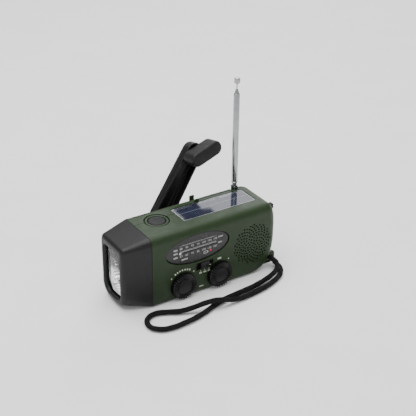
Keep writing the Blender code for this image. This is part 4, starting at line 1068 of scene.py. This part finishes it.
# ------------------------------------------------------------------ antenna
class RADIO_OT_antenna(Operator):
    """Make the telescopic antenna with its swivel foot, stages and tip"""

    bl_idname = "radio.antenna"
    bl_label = "Antenna"

    def execute(self, context):
        axis = centre("mast_swivel")
        place = at((axis.x, axis.y, 0))
        self.stage_one(place)
        for number in (2, 3):
            low, high = span(f"mast_tube_{number}")
            radius = (high.x - low.x) / 2
            profile = [
                (0.0, low.z), (radius, low.z), (radius, high.z - 0.35), (radius - 0.12, high.z - 0.05),
                (radius - 0.3, high.z), (radius - 0.32, high.z - 2), (0.0, high.z - 2),
            ]
            bm = lathe(profile, 32, place)
            place_skin(f"mast_tube_{number}", bm, "chrome", f"antenna_{number}")
        low, high = span("mast_rod")
        top, radius = high.z, (high.x - low.x) / 2
        profile = [
            (0.0, low.z), (0.5, low.z), (0.5, top - 4.9), (0.9, top - 4.7), (radius - 0.5, top - 4.1),
            (radius - 0.05, top - 3.7), (radius, top - 3.4), (radius, top - 1.0),
        ]
        profile += arc((radius - 0.9, top - 0.9), 0.9, 15, 90, 5)
        profile.append((0.0, top))
        place_skin("mast_rod", lathe(profile, 40, place), "chrome", "antenna_rod")
        return {"FINISHED"}

    def stage_one(self, place):
        """The thickest tube, with a collar at its foot and the tongue that tilts in the fork."""
        pivot, top, outer = MAST_PIVOT_Z, span("mast_tube_1")[1].z, 2.3
        profile = [
            (0.0, pivot + 3.2), (1.9, pivot + 3.2), (2.2, pivot + 3.5), (outer, pivot + 4.2),
            (1.9, pivot + 4.5), (1.9, pivot + 4.9), (outer, pivot + 5.3), (outer, top - 0.5),
            (outer - 0.1, top - 0.15), (outer - 0.3, top), (outer - 0.35, top), (outer - 0.35, top - 3),
            (0.0, top - 3),
        ]
        tongue = arc((0, 0), 1.7, 180, 360, 12) + [(1.7, 3.6), (-1.7, 3.6)]
        turn = place @ at((0, 0, pivot), 90, "X")
        mesh = carve(to_mesh("mast_1", lathe(profile, 40, place)), join(prism(tongue, -0.6, 0.6, turn)))
        place_skin("mast_tube_1", mesh, "chrome", "antenna_1")


# ------------------------------------------------------------------ crank
def arm_frame():
    """The crank arm's own frame, from its joints: X along it and Z out of its open side."""
    fold, grip = joint("crank_fold"), joint("grip_spin")
    origin = Vector(fold["pos_m"]) / MM
    z_axis = Vector(grip["axis"]).normalized()
    along = Vector(grip["pos_m"]) / MM - origin
    x_axis = along.normalized()
    y_axis = z_axis.cross(x_axis)
    turn = Matrix((x_axis, y_axis, z_axis)).transposed().to_4x4()
    return Matrix.Translation(origin) @ turn, along.length


def arm_outline(length, inset, start):
    """The arm from above: straight sides that narrow to a round end at the grip."""
    round_end = arc((length, 0), ARM_TIP / 2 - inset, -90, 90, 24)
    return [(start, -ARM_ROOT / 2 + inset)] + round_end + [(start, ARM_ROOT / 2 - inset)]


class RADIO_OT_crank(Operator):
    """Make the crank arm, its grip and the hub in the back"""

    bl_idname = "radio.crank"
    bl_label = "Crank"

    def execute(self, context):
        place, length = arm_frame()
        far = length + 30
        floor = ARM_FLOOR - ARM_HALF
        body = to_mesh("arm", prism(arm_outline(length, 0.0, -7.0), -7, 7, place))
        side = arc((0, 0), ARM_HALF, 90, 270, 12) + [(far, -ARM_HALF), (far, ARM_HALF)]
        tray = prism(arm_outline(length, ARM_RIM, 11.0), floor, ARM_HALF + 5, place)
        ribs = bmesh.new()
        for offset in (-3.6, 3.6):
            add_box(ribs, (12.0, offset - 0.5, floor - 0.3), (length - 6, offset + 0.5, floor + 1.2))
        boss = bar((length, 0, 0.5 - ARM_HALF), (length, 0, ARM_HALF - 0.6), 4.5, 48)
        notch = block((-7, -4.3, -9), (5.0, 4.3, 9))
        fold_hole = bar((0, -20, 0), (0, 20, 0), FOLD_HOLE, 32)
        axle_hole = bar((length, 0, -9), (length, 0, 9), AXLE_HOLE, 32)
        for bm in (ribs, boss, notch, fold_hole, axle_hole):
            bm.transform(place)
        mesh = carve(
            body, ("INTERSECT", prism(side, -30, 30, place @ at((0, 0, 0), 90, "X"))), cut(tray), join(ribs),
            join(boss), cut(notch), cut(fold_hole), cut(axle_hole),
        )
        place_skin("crank_arm", soften(mesh, 0.35, 3, 40), "black", "crank_arm")
        self.grip(place @ at((length, 0, 0), GRIP_TURN))
        self.hub()
        return {"FINISHED"}

    def grip(self, turn):
        """A long grip with round ends and a softly rounded end face."""
        base, edge = ARM_HALF + 0.4, 2.0

        def ring(height, inset):
            points = []
            for middle, start in ((GRIP_OFFSET + GRIP_REACH, -90), (GRIP_OFFSET - GRIP_REACH, 90)):
                points += arc((middle, 0), GRIP_HALF - inset, start, start + 180, 16)
            return [(x, y, height) for x, y in points]

        rings = [ring(base, 0.9), ring(base + 0.15, 0.4), ring(base + 0.6, 0.05)]
        rings += [ring(base + 1.2 + (GRIP_DEEP - 1.2 - edge) * i / 5, 0.0) for i in range(6)]
        for i in range(1, 7):
            t = math.radians(90 * i / 6)
            rings.append(ring(base + GRIP_DEEP - edge + edge * math.sin(t), edge * (1 - math.cos(t))))
        bore = bar((0, 0, base - 1), (0, 0, base + GRIP_DEEP - 2), AXLE_HOLE, 32)
        bm = loft(rings)
        bm.transform(turn)
        bore.transform(turn)
        mesh = carve(to_mesh("grip", bm), cut(bore))
        place_skin("crank_grip", mesh, "grip", "crank_grip")

    def hub(self):
        """A disc in the back with the eye that the arm folds on."""
        fold = joint("crank_fold")
        middle = Vector(fold["pos_m"]) / MM
        axis = Vector(fold["axis"]).normalized()
        low = span("crank_hub")[0]
        profile = [
            (0.0, low.y), (3.0, low.y), (3.0, BACK - 2.6), (10.5, BACK - 2.6), (10.5, BACK + 0.1),
            (10.3, BACK + 0.35), (9.9, BACK + 0.5), (0.0, BACK + 0.5),
        ]
        body = to_mesh("hub", lathe(profile, 64, at((middle.x, 0, middle.z), -90, "X")))
        foot = block((-3.1, -3.6, 0), (3.1, 3.6, middle.y - BACK))
        out = Vector((0, -1, 0))
        turn = Matrix((axis.cross(out), axis, out)).transposed().to_4x4()
        foot.transform(Matrix.Translation(middle) @ turn)
        eye = bar(middle - axis * 4, middle + axis * 4, ARM_HALF, 40)
        bore = bar(middle - axis * 8, middle + axis * 8, FOLD_HOLE, 32)
        mesh = soften(carve(body, join(eye), join(foot), cut(bore)), 0.15, 2, 50)
        place_skin("crank_hub", mesh, "black", "crank_drive")


# ------------------------------------------------------------------ right end
class RADIO_OT_port_cover(Operator):
    """Make the rubber cover over the charging port"""

    bl_idname = "radio.port_cover"
    bl_label = "Port cover"

    def execute(self, context):
        sizes = context.scene.radio_sizes
        low, high = span("port_cover")
        outer = case_solid(0.0, 0.0, sizes)
        bmesh.ops.translate(outer, vec=(1.9, 0, 0), verts=outer.verts)
        skin = case_solid(0.0, -2.0, sizes)
        bmesh.ops.translate(skin, vec=(GAP, 0, 0), verts=skin.verts)
        around = rounded_block((RIGHT - 14, low.y, low.z), (RIGHT + 5, high.y, high.z), 1.6)
        tab = rounded_block((RIGHT + 0.6, low.y + 1, PORT.z + 3), (high.x, low.y + 5, PORT.z + 7), 0.5)
        mesh = carve(to_mesh("cover", outer), ("INTERSECT", around), cut(skin), join(tab))
        place_skin("port_cover", soften(mesh, 0.3, 2, 50), "rubber", "port_cover")
        return {"FINISHED"}


# ------------------------------------------------------------------ strap
STRAP_ROUTE = [
    (61.8, -10.5, 7.0), (61.8, -16.0, 7.0), (62.0, -21.5, 7.5), (61.2, -26.6, 7.4), (58.6, -31.0, 6.6),
    (53.5, -34.0, 5.4), (47.0, -35.6, 4.0), (40.5, -36.4, 3.0), (33.0, -37.4, 2.3), (24.4, -38.3, 2.2),
    (15.0, -39.2, 2.2), (5.5, -40.4, 2.2), (-5.8, -43.4, 2.2), (-16.0, -47.2, 2.2), (-25.5, -49.6, 2.2),
    (-34.0, -50.6, 2.2), (-43.0, -51.2, 2.2), (-51.5, -49.4, 2.2), (-57.0, -43.6, 2.2),
    (-56.4, -35.8, 2.2), (-51.0, -31.0, 2.2), (-44.5, -30.6, 2.2), (-37.5, -33.4, 2.2),
    (-30.0, -37.4, 2.6), (-22.0, -40.6, 4.4), (-14.0, -43.0, 6.6), (-6.5, -44.4, 7.2), (0.5, -45.4, 6.2),
    (8.0, -45.8, 3.8), (16.0, -45.6, 2.4), (24.0, -45.0, 2.2), (32.5, -43.8, 2.2), (41.7, -42.0, 2.2),
    (50.5, -38.8, 2.2), (57.5, -35.2, 2.2), (62.6, -30.2, 2.2), (65.0, -25.6, 2.2), (65.5, -21.4, 2.4),
    (65.3, -17.6, 2.9),
]
CORD_RADIUS = 2.1
STRANDS = 12               # half of them turn each way round
STRAND_RADIUS = 0.42
WEAVE = 0.17               # how far a strand rises and dips


def smooth_route(points, step):
    """Evenly spaced points on a smooth curve through the given ones."""
    ends = [2 * Vector(points[0]) - Vector(points[1])] + [Vector(p) for p in points]
    ends.append(2 * Vector(points[-1]) - Vector(points[-2]))
    dense = []
    for a, b, c, d in zip(ends, ends[1:], ends[2:], ends[3:]):
        for k in range(20):
            t = k / 20
            square, cube = 2 * a - 5 * b + 4 * c - d, 3 * b - a - 3 * c + d
            dense.append(0.5 * (2 * b + (c - a) * t + square * t**2 + cube * t**3))
    dense.append(ends[-2])
    total = sum((q - p).length for p, q in zip(dense, dense[1:]))
    count = round(total / step)
    route, walked, want = [dense[0]], 0.0, total / count
    for p, q in zip(dense, dense[1:]):
        stretch = (q - p).length
        while walked + stretch >= want - 1e-9 and len(route) < count:
            route.append(p.lerp(q, (want - walked) / stretch))
            want += total / count
        walked += stretch
    route.append(dense[-1])
    return route, total


def frames_along(route):
    """Two cross directions at each point, carried along without twisting."""
    tangents = [(b - a).normalized() for a, b in zip(route, route[1:])]
    tangents.append(tangents[-1])
    side = tangents[0].orthogonal().normalized()
    sides = []
    for tangent in tangents:
        side = (side - tangent * side.dot(tangent)).normalized()
        sides.append((side, tangent.cross(side)))
    return sides


def tube(bm, points, radius, sides):
    """A closed round tube along points."""
    rows = []
    section = [(math.cos(2 * math.pi * i / sides), math.sin(2 * math.pi * i / sides)) for i in range(sides)]
    for place, (u, v) in zip(points, frames_along(points)):
        rows.append([bm.verts.new(place + radius * (u * across + v * up)) for across, up in section])
    for low, high in zip(rows, rows[1:]):
        for i in range(sides):
            j = (i + 1) % sides
            bm.faces.new((low[i], low[j], high[j], high[i]))
    bm.faces.new(rows[0])
    bm.faces.new(rows[-1])


class RADIO_OT_strap(Operator):
    """Make the braided wrist strap: twelve strands that weave over and under round a core"""

    bl_idname = "radio.strap"
    bl_label = "Wrist strap"

    def execute(self, context):
        pitch = context.scene.radio_sizes.braid_pitch
        step = 0.7
        route, length = smooth_route(STRAP_ROUTE, step)
        sides = frames_along(route)
        bm = bmesh.new()
        tube(bm, route[::3] + [route[-1]], CORD_RADIUS - 0.62, 12)
        reach = CORD_RADIUS - STRAND_RADIUS - WEAVE
        for number in range(STRANDS):
            way = 1 if number % 2 else -1
            phase = 2 * math.pi * (number // 2) / (STRANDS / 2)
            points = []
            for k, (place, (u, v)) in enumerate(zip(route, sides)):
                turn = 2 * math.pi * k * step / pitch
                angle = way * turn + phase
                radius = reach + way * WEAVE * math.cos(STRANDS / 2 * turn)
                points.append(place + radius * (u * math.cos(angle) + v * math.sin(angle)))
            tube(bm, points, STRAND_RADIUS, 5)
        piece = place_skin("wrist_strap", bm, "braid", "case")
        return {"FINISHED"}


# ------------------------------------------------------------------ CAD nodes that stay
KEPT = {
    "led_board": "board", "main_board": "board", "torch_switch": "black", "tuning_capacitor": "white",
    "volume_control": "white", "switch_body": "steel", "speaker_basket": "steel", "speaker_cone": "paper",
    "speaker_magnet": "steel", "battery": "sleeve", "ferrite_bar": "ferrite", "ferrite_coil": "copper",
    "dynamo_case": "steel", "gear_frame": "black", "mast_bracket": "steel", "charge_socket": "steel",
    "solar_cell": "cell", "fold_pin": "steel", "drive_gear": "white", "idler_gear": "white",
    "dynamo_rotor": "steel", "grip_axle": "steel", "mast_swivel": "chrome", "tilt_screw": "steel",
}


class RADIO_OT_inner_parts(Operator):
    """Give the parts that stay as they are their finishes"""

    bl_idname = "radio.inner_parts"
    bl_label = "Inner parts"

    def execute(self, context):
        kept = dict(KEPT)
        for number in range(1, 5):
            kept[f"case_screw_{number}"] = "steel"
        for node, finish in kept.items():
            piece = frame["nodes"][node]
            if not piece.material_slots:
                piece.data.materials.append(MATERIALS[finish])
            for slot in piece.material_slots:
                slot.material = MATERIALS[finish]
        return {"FINISHED"}


# ------------------------------------------------------------------ stage
def aim(piece, target):
    piece.rotation_euler = (Vector(target) - piece.location).to_track_quat("-Z", "Y").to_euler()


def soft_light(name, place, target, size, power, tint=(1, 1, 1)):
    light = bpy.data.lights.new(name, "AREA")
    light.shape = "RECTANGLE"
    light.size, light.size_y = size
    light.energy = power
    light.color = tint
    lamp = bpy.data.objects.new(name, light)
    bpy.context.scene.collection.objects.link(lamp)
    lamp.location = place
    aim(lamp, target)
    return lamp


class RADIO_OT_stage(Operator):
    """Set the floor, the soft lights and the camera"""

    bl_idname = "radio.stage"
    bl_label = "Stage"

    def execute(self, context):
        bm = bmesh.new()
        bmesh.ops.create_grid(bm, x_segments=8, y_segments=8, size=6000)
        mesh = to_mesh("floor", bm)
        floor = bpy.data.objects.new("floor", mesh)
        context.scene.collection.objects.link(floor)
        floor.location.z = -0.0002
        mesh.materials.append(MATERIALS["floor"])

        world = bpy.data.worlds.new("studio")
        world.use_nodes = True
        self.bands(world.node_tree)
        context.scene.world = world
        middle = (0, 0, 0.03)
        soft_light("overhead", (-0.1, 0.1, 1.2), middle, (1.3, 1.3), 26.0)
        soft_light("front_fill", (-0.9, -1.3, 0.8), middle, (0.8, 0.6), 5.0)
        soft_light("back_card", (1.01, 1.03, 0.818), (0.03, 0.0, 0.05), (0.95, 1.1), 11.0, (0.97, 0.98, 1.0))

        camera_data = bpy.data.cameras.new("camera")
        camera_data.lens = 86.75
        camera_data.sensor_width = 36.0
        camera_data.shift_x = 0.0532
        camera_data.shift_y = 0.0895
        camera_data.clip_start = 0.01
        camera = bpy.data.objects.new("camera", camera_data)
        context.scene.collection.objects.link(camera)
        look_at, reach = Vector((0.0056, 0.0132, 0.020)), 0.75
        turn, rise = math.radians(-31.61), math.radians(30.53)
        back = Vector((math.sin(turn) * math.cos(rise), -math.cos(turn) * math.cos(rise), math.sin(rise)))
        camera.location = look_at + reach * back
        camera.rotation_euler = (math.radians(90) - rise, 0, turn)
        context.scene.camera = camera
        return {"FINISHED"}

    def bands(self, tree):
        """A grey room whose walls go softly from light to dark all round, for bright metal to mirror."""
        place = tree.nodes.new("ShaderNodeTexCoord")
        split = add_node(tree, "SeparateXYZ", {}, "Vector", place.outputs["Generated"])
        turn = calculate(tree, "ARCTAN2", split.outputs["Y"], split.outputs["X"])
        wave = calculate(tree, "SINE", calculate(tree, "MULTIPLY", turn, 5.0))
        spread = add_node(tree, "MapRange", {"From Min": -1.0, "To Min": 0.12, "To Max": 0.95}, "Value", wave)
        light = tree.nodes["Background"]
        tree.links.new(spread.outputs["Result"], light.inputs["Strength"])
        light.inputs["Color"].default_value = (1, 1, 1, 1)


class RADIO_PT_panel(Panel):
    """Buttons for each piece of the radio"""

    bl_idname = "RADIO_PT_panel"
    bl_label = "Emergency radio"
    bl_space_type = "VIEW_3D"
    bl_region_type = "UI"
    bl_category = "Radio"

    def draw(self, context):
        for group in (context.scene.radio_sizes, context.scene.radio_colours):
            for name in type(group).__annotations__:
                self.layout.prop(group, name)
        for operator in OPERATORS:
            self.layout.operator(operator.bl_idname)


OPERATORS = (
    RADIO_OT_stage, RADIO_OT_strap, RADIO_OT_front_case, RADIO_OT_rear_case, RADIO_OT_torch_head,
    RADIO_OT_dial, RADIO_OT_front_marks, RADIO_OT_knobs, RADIO_OT_top, RADIO_OT_antenna, RADIO_OT_crank,
    RADIO_OT_port_cover, RADIO_OT_inner_parts,
)
CLASSES = (RadioSizes, RadioColours) + OPERATORS + (RADIO_PT_panel,)


def register():
    for item in CLASSES:
        bpy.utils.register_class(item)
    bpy.types.Scene.radio_sizes = PointerProperty(type=RadioSizes)
    bpy.types.Scene.radio_colours = PointerProperty(type=RadioColours)


def unregister():
    del bpy.types.Scene.radio_sizes
    del bpy.types.Scene.radio_colours
    for item in reversed(CLASSES):
        bpy.utils.unregister_class(item)


def main():
    register()
    make_materials(bpy.context.scene.radio_colours)
    for operator in OPERATORS:
        group, name = operator.bl_idname.split(".")
        getattr(getattr(bpy.ops, group), name)()


if __name__ == "__main__":
    main()
